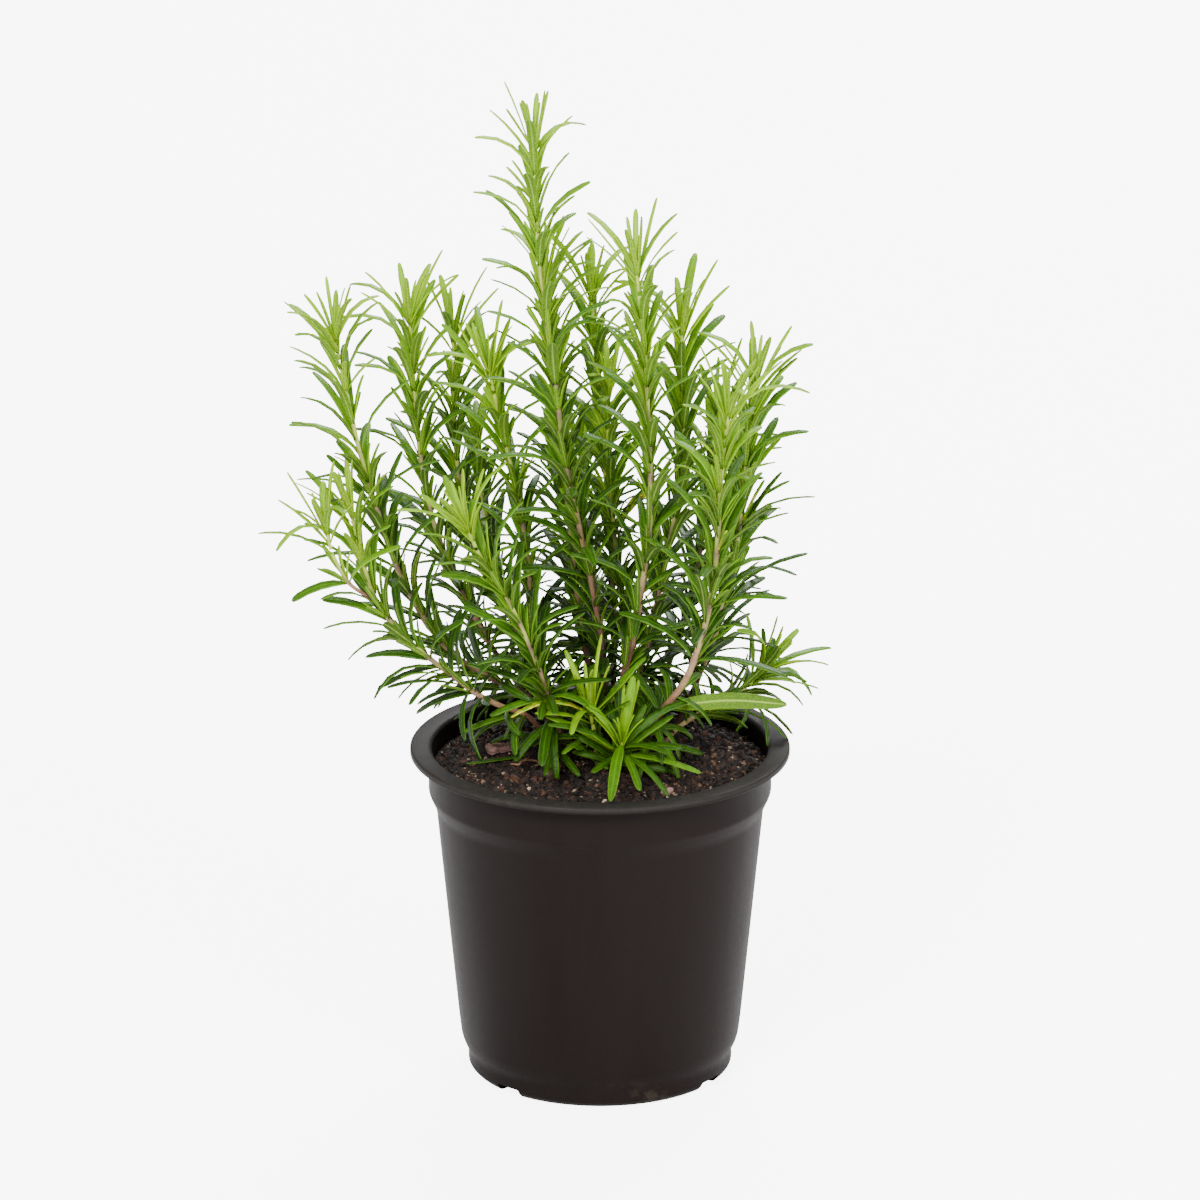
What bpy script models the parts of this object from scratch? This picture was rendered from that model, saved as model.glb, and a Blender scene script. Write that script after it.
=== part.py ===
"""A rosemary plant in a nursery pot. Metres, +Z up, origin at the centre of the pot's base.

The pot is turned and the compost fills it. Every shoot is one grown body: a square stem with pairs of
narrow leaves that cross at each joint. A leaf that would touch something turns aside, or isn't grown.
"""

import math
import random

import bmesh
import bpy
from mathutils import Matrix, Vector
from mathutils.bvhtree import BVHTree

MM = 0.001

# Pot
POT_HEIGHT = 0.125
RIM_RADIUS = 0.070
WALL = 0.0013
LIP_OVERHANG = 0.0068  # how far the lip stands out past the collar
LIP_HEIGHT = 0.0026
LIP_ROUND = 0.0010
MOUTH_ROUND = 0.0022  # the rim's inner edge
COLLAR_HEIGHT = 0.0170  # from the rim down to the collar's lower edge
COLLAR_STEP = 0.0028  # how far the collar stands out past the body
COLLAR_FLARE = 0.0060  # height of the slope below the collar
BODY_TAPER = 0.100  # radius lost per unit of depth
FOOT_HEIGHT = 0.0190
SHOULDER_HEIGHT = 0.0121
SHOULDER_STEP = 0.0009
SKIRT_HEIGHT = 0.0072
SKIRT_STEP = 0.0033
FOOT_CHAMFER = 0.0022
FOOT_RING = 0.0040  # width of the ring that the pot stands on
FLOOR_RAISE = 0.0030
PAD_RADIUS = 0.0150  # the middle of the floor comes down level with the ring
NOTCH_HEIGHT = 0.0032
NOTCH_ANGLE = 13.0
NOTCH_PLACES = (-134.5, -33.0, 45.5, 147.0)  # degrees round from +X
POT_SIDES = 56

# Compost
SOIL_DROP = 0.0085  # below the rim, at the wall
SOIL_MOUND = 0.0045  # higher than that in the middle
SOIL_LUMP = 0.0007
SOIL_SIDES = 36
SOIL_RINGS = 6
SOCKET_SIDES = 6
SEAT_GAP = 0.0003  # between any two pieces that rest on each other

# Stems
ROOT_DEPTH = 0.0080  # how far a stem goes into the compost
COLLAR_LIFT = 0.0015  # a stem is straight to this height above the compost
JOINT_SPACING = 0.0112
JOINT_HEIGHT = 0.0022  # the short stretch of stem that a pair of leaves grows from
JOINT_SWELL = 1.12
TIP_LENGTH = 0.0120  # the soft end of each shoot, a piece of its own
TIP_SPACING = 0.0040
TIP_TAPER = 0.5
TIP_ANGLE = 36.0  # how wide the tip's outer leaves open

# Leaves
LEAF_LENGTH = 0.0305
LEAF_WIDTH = 0.0033
LEAF_THICKNESS = 0.0010
LEAF_WAIST = 0.42  # where along its length a leaf is widest
LEAF_GAP = 0.0003  # round every leaf
LEAST_ANGLE = 16.0  # between a leaf and its stem
LEAF_ROOT = 0.0030  # the first stretch, which is allowed near its own stem

# Single leaves that stand apart, and loose things on the compost. A place there is (share of the
# compost's radius, degrees round from +X).
SINGLE_LEAF_RINGS = 6
BROAD_LEAF_LENGTH = 0.0420
BROAD_LEAF_WIDTH = 0.0062
BROAD_LEAF_HEIGHT = 0.0300  # above the compost, where it leaves its stem
HANGING_LEAF_WIDTH = 0.0042
FALLEN_LEAF_LENGTH = 0.0240
FALLEN_LEAF_WIDTH = 0.0030
FALLEN_LEAF_PLACE = (0.62, 189.0)
FALLEN_LEAF_HEADING = 22.0
CHIP_SIZE = (0.0090, 0.0045, 0.0028)
CHIPS = {"bark_chip": (0.60, 172.0, 20.0, 1.0), "bark_chip_small": (0.72, 304.0, 65.0, 0.6)}
FIBRE_PLACE = (0.46, 204.0)
FIBRE_RADIUS = 0.00040
FIBRE_LOOP = 0.0036

# Colours
POT_BLACK = (0.036, 0.031, 0.028)
SOIL_BROWN = (0.022, 0.014, 0.010)
LEAF_GREEN = (0.075, 0.150, 0.018)
YOUNG_GREEN = (0.260, 0.420, 0.040)
PALE_GREEN = (0.200, 0.290, 0.080)
DRY_BROWN = (0.210, 0.110, 0.060)
BARK_PINK = (0.420, 0.240, 0.210)

# Each shoot: its route in millimetres as (x, y, height above the compost), its radius at the bottom and
# at the top, the height of its first leaves, and how long its leaves are beside the usual length.
SHOOTS = {
    "tall_centre": (
        [(2, 10, 0), (1, 6, 40), (-3, 2, 70), (-12, -5, 117), (-17, -6, 155), (-22, -4, 195), (-24, 0, 240)],
        1.25, 0.75, 34, 0.95),
    "right_front": (
        [(6, 1, 0), (7, -4, 30), (12, -10, 52), (18, -15, 97), (18, -16, 130), (16, -16, 168),
         (13, -14, 198)],
        1.40, 0.75, 36, 0.98),
    "right_back": (
        [(10, 18, 0), (13, 17, 23), (21, 22, 56), (30, 25, 106), (30, 25, 140), (30, 24, 163)],
        1.20, 0.70, 18, 1.00),
    "pale_right": (
        [(14, -12, 0), (19, -20, 24), (32, -28, 45), (41, -33, 80), (44, -34, 124), (47, -31, 149)],
        1.60, 0.80, 46, 1.05),
    "far_right": (
        [(17, 8, 0), (22, 12, 15), (33, 16, 31), (44, 18, 54), (51, 20, 84), (55, 19, 128), (57, 18, 144)],
        1.20, 0.70, 28, 1.05),
    "low_right": (
        [(22, 0, 0), (30, 4, 15), (44, 8, 21), (54, 10, 26), (61, 10, 36)],
        1.10, 0.80, 14, 0.95),
    "left_middle": (
        [(-9, 14, 0), (-17, 18, 14), (-25, 24, 32), (-26, 25, 65), (-30, 23, 96), (-35, 20, 120),
         (-41, 15, 150)],
        1.15, 0.70, 20, 0.95),
    "left_outer": (
        [(-9, 0, 0), (-25, -2, 26), (-49, -4, 41), (-61, -5, 54), (-73, -6, 76), (-80, -6, 97),
         (-88, -5, 125), (-97, -1, 168)],
        1.35, 0.75, 30, 1.00),
    "left_tall": (
        [(-15, 20, 0), (-22, 22, 14), (-36, 26, 31), (-49, 28, 54), (-60, 29, 81), (-66, 28, 110),
         (-70, 26, 166)],
        1.25, 0.70, 24, 1.00),
    "left_back": (
        [(-6, 26, 0), (-14, 32, 12), (-25, 38, 29), (-38, 42, 53), (-47, 45, 75), (-53, 46, 105),
         (-54, 44, 154)],
        1.20, 0.70, 24, 1.00),
    "left_front": (
        [(-12, -9, 0), (-18, -20, 31), (-25, -28, 55), (-35, -33, 79), (-44, -36, 94), (-49, -37, 107)],
        1.10, 0.75, 20, 0.95),
    "low_left": (
        [(-17, -4, 0), (-25, -10, 22), (-42, -14, 31), (-57, -18, 44), (-68, -20, 54), (-77, -21, 64),
         (-84, -22, 78), (-91, -21, 107)],
        1.30, 0.75, 30, 0.90),
    "front": (
        [(5, -21, 0), (7, -28, 9), (8, -36, 23)],
        1.20, 0.95, 6, 1.15),
    "front_left": (
        [(-1, -16, 0), (-1, -20, 14), (-4, -24, 32)],
        1.05, 0.80, 6, 1.05),
    "back_centre": (
        [(4, 30, 0), (5, 36, 16), (5, 44, 48), (3, 48, 86), (0, 48, 117), (-3, 45, 169)],
        1.20, 0.70, 22, 1.00),
    "back_tall": (
        [(-1, 20, 0), (-3, 26, 20), (-8, 30, 53), (-12, 32, 92), (-16, 32, 131), (-20, 30, 183)],
        1.25, 0.70, 30, 1.05),
    "middle": (
        [(14, 27, 0), (12, 30, 24), (8, 30, 54), (5, 29, 85), (3, 27, 117), (3, 26, 138)],
        1.15, 0.70, 16, 0.95),
    "back_right": (
        [(16, 37, 0), (24, 44, 20), (34, 52, 50), (40, 56, 85), (43, 57, 122)],
        1.20, 0.70, 14, 1.00),
    "back_left": (
        [(-16, 35, 0), (-26, 44, 20), (-36, 54, 50), (-43, 60, 80), (-46, 62, 110)],
        1.20, 0.70, 14, 1.00),
    "rear": (
        [(2, 42, 0), (2, 52, 18), (-2, 62, 45), (-6, 70, 75), (-8, 74, 100)],
        1.15, 0.70, 12, 1.00),
    "rear_right": (
        [(27, 20, 0), (34, 30, 18), (44, 38, 42), (50, 41, 70), (51, 42, 98)],
        1.15, 0.70, 14, 1.00),
}
# A shoot that grows out of another one's side, on a route that starts at its parent's stem
SIDE_SHOOTS = {
    "low_left_side": (
        "low_left", [(-80, -22, 71), (-90, -28, 79), (-97, -31, 91), (-100, -32, 105)], 0.80, 0.65, 0.85),
}
# Its tip opens wide, with leaves out to this angle
ROSETTES = {"front": 78.0, "front_left": 60.0, "low_right": 50.0}

# What follows from the sizes above
COLLAR_RADIUS = RIM_RADIUS - LIP_OVERHANG
COLLAR_BASE = POT_HEIGHT - COLLAR_HEIGHT
BODY_TOP = COLLAR_BASE - COLLAR_FLARE
BODY_TOP_RADIUS = COLLAR_RADIUS - COLLAR_STEP
BODY_FOOT_RADIUS = BODY_TOP_RADIUS - BODY_TAPER * (BODY_TOP - FOOT_HEIGHT)
SKIRT_RADIUS = BODY_FOOT_RADIUS - SKIRT_STEP
STANDING_RADIUS = SKIRT_RADIUS - FOOT_CHAMFER
SOIL_LEVEL = POT_HEIGHT - SOIL_DROP


# Pot and compost


def outer_wall():
    """(radius, height) from the foot up to the underside of the lip."""
    return [
        (STANDING_RADIUS, 0),
        (SKIRT_RADIUS, FOOT_CHAMFER),
        (SKIRT_RADIUS, SKIRT_HEIGHT),
        (BODY_FOOT_RADIUS - SHOULDER_STEP, SHOULDER_HEIGHT),
        (BODY_FOOT_RADIUS, FOOT_HEIGHT),
        (BODY_TOP_RADIUS, BODY_TOP),
        (COLLAR_RADIUS, COLLAR_BASE),
        (COLLAR_RADIUS, POT_HEIGHT - LIP_HEIGHT),
    ]


def inner_wall():
    """The same wall seen from inside, a wall's thickness in, from the floor up to the mouth."""
    inside = [(radius - WALL, height + WALL * 0.4) for radius, height in outer_wall()[1:-1]]
    inside[0] = (SKIRT_RADIUS - WALL, FOOT_CHAMFER + WALL)
    return inside + [(COLLAR_RADIUS - WALL, POT_HEIGHT - MOUTH_ROUND)]


def inner_radius(height):
    wall = inner_wall()
    for (low_radius, low), (high_radius, high) in zip(wall, wall[1:]):
        if height <= high:
            share = max(0.0, (height - low) / (high - low))
            return low_radius + share * (high_radius - low_radius)
    return wall[-1][0]


def pot_profile():
    ring_inside = STANDING_RADIUS - FOOT_RING
    floor = FLOOR_RAISE
    under = [
        (0, 0),
        (PAD_RADIUS, 0),
        (PAD_RADIUS + WALL, floor),
        (ring_inside - WALL, floor),
        (ring_inside, 0),
    ]
    lip = [
        (RIM_RADIUS - LIP_ROUND * 0.4, POT_HEIGHT - LIP_HEIGHT),
        (RIM_RADIUS, POT_HEIGHT - LIP_HEIGHT + LIP_ROUND * 0.5),
        (RIM_RADIUS, POT_HEIGHT - LIP_ROUND),
        (RIM_RADIUS - LIP_ROUND * 0.3, POT_HEIGHT - LIP_ROUND * 0.3),
        (RIM_RADIUS - LIP_ROUND, POT_HEIGHT),
        (COLLAR_RADIUS - WALL + MOUTH_ROUND, POT_HEIGHT),
        (COLLAR_RADIUS - WALL + MOUTH_ROUND * 0.3, POT_HEIGHT - MOUTH_ROUND * 0.3),
    ]
    top_of_floor = [
        (STANDING_RADIUS - WALL * 0.4, WALL),
        (ring_inside, WALL),
        (ring_inside - WALL, floor + WALL),
        (PAD_RADIUS + WALL, floor + WALL),
        (PAD_RADIUS, WALL),
        (0, WALL),
    ]
    return under + outer_wall() + lip + inner_wall()[::-1] + top_of_floor


def turned(name, profile, sides):
    """A closed body made by turning a profile once round +Z."""
    mesh = bmesh.new()
    points = [mesh.verts.new((radius, 0, height)) for radius, height in profile]
    edges = [mesh.edges.new(pair) for pair in zip(points, points[1:])]
    bmesh.ops.spin(
        mesh, geom=points + edges, axis=(0, 0, 1), cent=(0, 0, 0), steps=sides, angle=math.tau, use_merge=True
    )
    bmesh.ops.remove_doubles(mesh, verts=mesh.verts, dist=1e-6)
    bmesh.ops.recalc_face_normals(mesh, faces=mesh.faces)
    return as_object(name, mesh)


def cut(solid, name, cutter_mesh):
    cutter = as_object(name, cutter_mesh)
    cutter.hide_render = True
    cutter.display_type = "WIRE"
    boolean = solid.modifiers.new(name, "BOOLEAN")
    boolean.operation = "DIFFERENCE"
    boolean.object = cutter


def make_pot():
    pot = turned("pot", pot_profile(), POT_SIDES)
    shade_round(pot, 30)
    notches = bmesh.new()
    depth = FOOT_RING + FOOT_CHAMFER + 3 * WALL
    middle = SKIRT_RADIUS + WALL - depth / 2
    size = (depth, 2 * SKIRT_RADIUS * math.sin(math.radians(NOTCH_ANGLE / 2)), 2 * NOTCH_HEIGHT)
    for place in NOTCH_PLACES:
        turn = Matrix.Rotation(math.radians(place), 4, "Z") @ Matrix.Translation((middle, 0, 0))
        bmesh.ops.create_cube(notches, size=1, matrix=turn @ Matrix.Diagonal((*size, 1)))
    cut(pot, "drain_notches", notches)
    paint(pot, POT_BLACK, 0.42)
    return pot


def soil_top(x, y):
    """Height of the compost: level at the wall, mounded and slightly lumpy towards the middle."""
    share = min(1.0, math.hypot(x, y) / inner_radius(SOIL_LEVEL))
    lumps = math.sin(x * 310) * math.cos(y * 270) + math.sin((x + y) * 190)
    return SOIL_LEVEL + (1 - share * share) * (SOIL_MOUND + SOIL_LUMP * lumps)


def make_soil(seats):
    """The compost, with a socket for every stem. seats holds (x, y, radius) of each."""
    bottom = FLOOR_RAISE + WALL + SEAT_GAP
    heights = [bottom] + [height for _, height in inner_wall() if bottom < height < SOIL_LEVEL] + [SOIL_LEVEL]
    side = [(inner_radius(height) - SEAT_GAP, height) for height in heights]
    top = [(side[-1][0] * (SOIL_RINGS - ring) / SOIL_RINGS, SOIL_LEVEL) for ring in range(1, SOIL_RINGS + 1)]
    soil = turned("soil", [(0, bottom)] + side + top, SOIL_SIDES)
    for vert in soil.data.vertices:
        if vert.co.z > SOIL_LEVEL - SEAT_GAP:
            vert.co.z = soil_top(vert.co.x, vert.co.y)
    sockets = bmesh.new()
    depth = ROOT_DEPTH + SEAT_GAP
    for x, y, radius in seats:
        reach = (radius + SEAT_GAP) / math.cos(math.pi / SOCKET_SIDES)
        place = Matrix.Translation((x, y, soil_top(x, y)))
        bmesh.ops.create_cone(
            sockets, cap_ends=True, segments=SOCKET_SIDES, radius1=reach, radius2=reach, depth=2 * depth,
            matrix=place,
        )
    cut(soil, "stem_sockets", sockets)
    paint(soil, SOIL_BROWN, 0.95)
    return soil


# Shoots


def curve_points(knots, step):
    """Points a step apart on one smooth curve through the knots."""
    ends = [2 * knots[0] - knots[1]] + knots + [2 * knots[-1] - knots[-2]]
    fine = []
    for a, b, c, d in zip(ends, ends[1:], ends[2:], ends[3:]):
        for part in range(12):
            t = part / 12
            bent = (2 * a - 5 * b + 4 * c - d) * t * t + (3 * b - a - 3 * c + d) * t**3
            fine.append(0.5 * (2 * b + (c - a) * t + bent))
    fine.append(knots[-1])
    return evenly(fine, step)


def evenly(fine, step):
    length = sum((b - a).length for a, b in zip(fine, fine[1:]))
    count = max(1, round(length / step))
    points, walked, goal = [fine[0]], 0.0, length / count
    for a, b in zip(fine, fine[1:]):
        run = (b - a).length
        while run and walked + run >= goal - 1e-9 and len(points) < count:
            points.append(a.lerp(b, (goal - walked) / run))
            goal += length / count
        walked += run
    return points + [fine[-1]]


def carried(side, along):
    """The side vector turned the least that makes it square to a new direction."""
    return (side - along * side.dot(along)).normalized()


def corners(centre, side, front, reach_side, reach_front):
    return [
        centre + side * (sign_side * reach_side) + front * (sign_front * reach_front)
        for sign_side, sign_front in ((1, 1), (-1, 1), (-1, -1), (1, -1))
    ]


def extend(mesh, face, places):
    """Extrudes a four-cornered face and moves each corner to the nearest free place."""
    end = bmesh.ops.extrude_discrete_faces(mesh, faces=[face])["faces"][0]
    middle = end.calc_center_median()
    centre = sum(places, Vector()) / 4
    left = list(places)
    for vert in end.verts:
        away = (vert.co - middle).normalized()
        place = max(left, key=lambda spot: (spot - centre).normalized().dot(away))
        left.remove(place)
        vert.co = place
    return end


def side_face(end, direction):
    """The face beside an extruded end that lies furthest in a direction."""
    beside = [face for edge in end.edges for face in edge.link_faces if face != end]
    return max(beside, key=lambda face: face.calc_center_median().dot(direction))


class Leaf:
    """A leaf as three places along it and the direction of its width."""

    def __init__(self, foot, along, outward, angle, curl, length, width):
        rise = math.cos(math.radians(angle))
        reach = math.sin(math.radians(angle))
        first = (along * rise + outward * reach).normalized()
        angle += curl
        second = (along * math.cos(math.radians(angle)) + outward * math.sin(math.radians(angle))).normalized()
        self.foot = foot
        self.waist = foot + first * (length * LEAF_WAIST)
        self.tip = self.waist + second * (length * (1 - LEAF_WAIST))
        self.across = along.cross(outward).normalized()
        self.up = self.across.cross((first + second).normalized()).normalized()
        self.first = first
        self.width = width

    def waist_corners(self, extra=0.0):
        return corners(self.waist, self.across, self.up, self.width / 2 + extra, LEAF_THICKNESS / 2 + extra)

    def tree(self, start, root_height):
        """A search tree of the leaf with its clearance, from some way off its stem to past its tip."""
        half_width, half_height = self.width / 3 + LEAF_GAP, root_height / 2 + LEAF_GAP
        root = corners(self.foot + self.first * start, self.across, self.up, half_width, half_height)
        ahead = (self.tip - self.waist).normalized()
        end = corners(self.tip + ahead * LEAF_GAP, self.across, self.up, LEAF_GAP, LEAF_GAP)
        rings = [root, self.waist_corners(LEAF_GAP), end]
        points = [point for ring in rings for point in ring]
        faces = [(0, 1, 2, 3), (8, 9, 10, 11)]
        for ring in (0, 4):
            faces += [(ring + k, ring + (k + 1) % 4, ring + 4 + (k + 1) % 4, ring + 4 + k) for k in range(4)]
        return BVHTree.FromPolygons(points, faces)

    def grow(self, mesh, face):
        ring = extend(mesh, face, self.waist_corners())
        point = bmesh.ops.extrude_discrete_faces(mesh, faces=[ring])["faces"][0]
        bmesh.ops.pointmerge(mesh, verts=point.verts, merge_co=self.tip)


class Garden:
    """Everything that stands or will stand, which a new leaf keeps clear of."""

    def __init__(self):
        self.trees = {}
        self.missed = 0

    def stand(self, name, mesh):
        self.trees[name] = BVHTree.FromBMesh(mesh)

    def reserve(self, name, points, radii):
        """Keeps a stem's own space free before anything grows."""
        rings, faces = [], []
        for place, point in enumerate(points):
            radius = mix(radii[0], radii[1], place / (len(points) - 1)) * JOINT_SWELL * math.sqrt(0.5)
            along = (points[min(place + 1, len(points) - 1)] - points[max(place - 1, 0)]).normalized()
            side = carried(Vector((1, 0, 0)), along)
            rings += corners(point, side, along.cross(side), radius, radius)
        for ring in range(0, len(rings) - 4, 4):
            faces += [(ring + k, ring + (k + 1) % 4, ring + 4 + (k + 1) % 4, ring + 4 + k) for k in range(4)]
        self.trees[name] = BVHTree.FromPolygons(rings, faces)

    def free(self, leaf, name, own_tree):
        """Whether a leaf of this name's stem touches neither its own stem nor anything else."""
        blade = leaf.tree(LEAF_ROOT, LEAF_THICKNESS)
        if own_tree.overlap(blade) or self.trees[name].overlap(blade):
            return False
        whole = leaf.tree(0, JOINT_HEIGHT)
        return not any(other.overlap(whole) for key, other in self.trees.items() if key != name)


def mix(low, high, share):
    return low + (high - low) * share


def leaf_tries(rng, share, size, foot, along, outward, young, open_angle):
    """The leaf as it would grow, and then turned aside or shortened little by little."""
    angle = mix(66, 24, share) + rng.uniform(-8, 8)
    curl = mix(10, 26, share) + rng.uniform(-8, 12)
    length = LEAF_LENGTH * size * mix(0.95, 0.86, abs(2 * share - 1)) * rng.uniform(0.88, 1.1)
    width = LEAF_WIDTH * rng.uniform(0.9, 1.12)
    twist = rng.uniform(-12, 12)
    if young:
        angle, curl, length, width = mix(open_angle, 12, share), 8, length * mix(0.9, 0.78, share), width * 0.8
    for shorter in (1.0, 0.8, 0.62):
        for turn in (0, -14, 14, -28, 28):
            for lift in (0, -10, 10, -20, 20, -30):
                spun = Matrix.Rotation(math.radians(twist + turn), 3, along) @ outward
                tilt = max(LEAST_ANGLE, min(88.0, angle + lift))
                yield Leaf(foot, along, spun, tilt, curl, length * shorter, width)


def grow_pair(mesh, garden, name, end, along, outwards, **growth):
    """One leaf out of each of two opposite faces of the stretch of stem that ends at this face."""
    for outward in outwards:
        face = side_face(end, outward)
        own_tree = BVHTree.FromBMesh(mesh)
        for leaf in leaf_tries(along=along, outward=outward, foot=face.calc_center_median(), **growth):
            if garden.free(leaf, name, own_tree):
                leaf.grow(mesh, face)
                break
        else:
            garden.missed += 1


def grow_stem(name, garden, points, radii, first_leaf, size, young, open_angle):
    """A square stem through the points, with a pair of leaves at each joint from first_leaf on."""
    rng = random.Random(name)
    mesh = bmesh.new()
    along = (points[1] - points[0]).normalized()
    side = carried(Matrix.Rotation(rng.uniform(0, math.tau), 3, "Z") @ Vector((1, 0, 0.01)), along)
    half = math.sqrt(0.5)
    reach = radii[0] * half
    start = [mesh.verts.new(spot) for spot in corners(points[0], side, along.cross(side), reach, reach)]
    end = mesh.faces.new(start)
    last_leaf = len(points) - 2
    walked = [0.0]
    for a, b in zip(points, points[1:]):
        walked.append(walked[-1] + (b - a).length)
    for place, (point, distance) in enumerate(zip(points[1:], walked[1:]), start=1):
        share = distance / walked[-1]
        radius = mix(radii[0], radii[1], share) * half
        before = (point - points[place - 1]).normalized()
        after = (points[place + 1] - point).normalized() if place + 1 < len(points) else before
        along = (before + after).normalized()
        side = carried(side, along)
        front = along.cross(side)
        if place < first_leaf or place + 1 == len(points):
            end = extend(mesh, end, corners(point, side, front, radius, radius))
            continue
        swollen = radius * JOINT_SWELL
        for offset in (-0.5, 0.5):
            spot = point + along * (offset * JOINT_HEIGHT)
            end = extend(mesh, end, corners(spot, side, front, swollen, swollen))
        outward = side if place % 2 else front
        grow_pair(
            mesh, garden, name, end, along, (outward, -outward),
            rng=rng, share=(place - first_leaf) / max(1, last_leaf - first_leaf), size=size, young=young,
            open_angle=open_angle,
        )
    mesh.faces.new(start)
    bmesh.ops.recalc_face_normals(mesh, faces=mesh.faces)
    garden.stand(name, mesh)
    return as_object(name, mesh)


def shoot_route(route):
    """The route of a shoot in metres, standing on the compost at its own place."""
    x, y, _ = route[0]
    ground = soil_top(x * MM, y * MM)
    return [Vector((x * MM, y * MM, ground + COLLAR_LIFT))] + [
        Vector((px * MM, py * MM, SOIL_LEVEL + ph * MM)) for px, py, ph in route[1:]
    ]


def split_tip(points, length):
    """The points of the stem, and of the tip that goes on from it a seat's gap further on."""
    rest = list(points)
    while (rest[-2] - points[-1]).length < length:
        rest.pop()
    back = (rest[-2] - points[-1]).normalized()
    rest[-1] = points[-1] + back * length
    return rest, [rest[-1] - back * SEAT_GAP, points[-1]]


def plan_shoot(name, points, radii, first_height, size, root=()):
    """What grow_stem needs for a shoot: its stem, on its root if it has one, and its soft tip further on."""
    stem, tip = split_tip(points, TIP_LENGTH)
    routed = [*root, *evenly(stem, JOINT_SPACING)]
    first_leaf = next(k for k, point in enumerate(routed) if k > len(root) and point.z >= first_height)
    tip_radii = (radii[1], radii[1] * TIP_TAPER)
    open_angle = ROSETTES.get(name, TIP_ANGLE)
    return [
        (name, routed, radii, first_leaf, size, False, open_angle),
        (name + "_tip", evenly(tip, TIP_SPACING), tip_radii, 1, size, True, open_angle),
    ]


def plan_shoots():
    plans, routes = [], {}
    for name, (route, base, top, first_height, size) in SHOOTS.items():
        knots = shoot_route(route)
        points = curve_points(knots, JOINT_SPACING / 3)
        routes[name] = (points, base * MM)
        root = [knots[0] - Vector((0, 0, COLLAR_LIFT + ROOT_DEPTH))]
        first_height = SOIL_LEVEL + first_height * MM
        plans += plan_shoot(name, points, (base * MM, top * MM), first_height, size, root)
    for name, (parent, route, base, top, size) in SIDE_SHOOTS.items():
        knots = [Vector((x * MM, y * MM, SOIL_LEVEL + h * MM)) for x, y, h in route]
        points, radius = routes[parent]
        start = min(points, key=lambda place: (place - knots[0]).length)
        clear = radius + base * MM + SEAT_GAP
        knots[0] = start + (knots[1] - start).normalized() * clear
        plans += plan_shoot(name, curve_points(knots, JOINT_SPACING / 3), (base * MM, top * MM), 0, size)
    return plans, routes


def make_shoots(garden, plans):
    for name, points, radii, *_ in plans:
        garden.reserve(name, points, radii)
    for name, points, radii, first_leaf, size, young, open_angle in plans:
        shoot = grow_stem(name, garden, points, radii, first_leaf, size, young, open_angle)
        paint(shoot, YOUNG_GREEN if young else LEAF_GREEN, 0.50)


# Single leaves and loose things


def make_leaf(name, garden, points, across, width, thickness, colour):
    """A leaf of its own, along a route, widest before its middle and pointed at its end."""
    mesh = bmesh.new()
    rings = curve_points(points, (points[-1] - points[0]).length / SINGLE_LEAF_RINGS)
    end = start = None
    for place, point in enumerate(rings[:-1]):
        share = place / (len(rings) - 1)
        along = (rings[place + 1] - point).normalized()
        side = carried(across, along)
        half = width / 2 * math.sin(math.pi * (0.14 + 0.72 * share**0.8))
        spots = corners(point, side, along.cross(side), half, thickness / 2)
        if end is None:
            start = [mesh.verts.new(spot) for spot in spots]
            end = mesh.faces.new(start)
        else:
            end = extend(mesh, end, spots)
    point = bmesh.ops.extrude_discrete_faces(mesh, faces=[end])["faces"][0]
    bmesh.ops.pointmerge(mesh, verts=point.verts, merge_co=rings[-1])
    mesh.faces.new(start)
    bmesh.ops.recalc_face_normals(mesh, faces=mesh.faces)
    garden.stand(name, mesh)
    paint(as_object(name, mesh), colour, 0.5)


def make_broad_leaf(garden, routes):
    """The large leaf that reaches out to the right from low on the pale stem."""
    points, radius = routes["pale_right"]
    foot = next(place for place in points if place.z > SOIL_LEVEL + BROAD_LEAF_HEIGHT)
    reach = Vector((1, 0.06, 0.02)).normalized()
    start = foot + reach * (radius * 1.5 + SEAT_GAP)
    bend = Vector((0, 0, 0.0012))
    knots = [start, start + reach * (BROAD_LEAF_LENGTH / 2) + bend, start + reach * BROAD_LEAF_LENGTH - bend]
    across = Vector((0, 0.55, 0.83))
    make_leaf("broad_leaf", garden, knots, across, BROAD_LEAF_WIDTH, LEAF_THICKNESS, PALE_GREEN)


def make_hanging_leaf(garden, routes):
    """The leaf that hangs forward from the front rosette, with its point just above the rim."""
    points, radius = routes["front"]
    start = points[-1] + Vector((-0.1, -0.9, -0.42)).normalized() * (radius * 2 + SEAT_GAP)
    over_rim = POT_HEIGHT + LEAF_THICKNESS + SEAT_GAP
    end = Vector((start.x - 0.004, -(RIM_RADIUS - LIP_OVERHANG * 0.6), over_rim))
    middle = start.lerp(end, 0.45) + Vector((0, 0, 0.003))
    knots, across = [start, middle, end], Vector((1, 0, 0))
    make_leaf("hanging_leaf", garden, knots, across, HANGING_LEAF_WIDTH, LEAF_THICKNESS, LEAF_GREEN)


def on_compost(share, angle):
    reach = share * inner_radius(SOIL_LEVEL)
    return Vector((reach * math.cos(math.radians(angle)), reach * math.sin(math.radians(angle)), 0))


def ground(garden, spots):
    """The height of the highest compost under any of these places."""
    fall = Vector((0, 0, -1))
    return max(garden.trees["soil"].ray_cast(Vector((x, y, 1)), fall)[0].z for x, y, *_ in spots)


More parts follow.
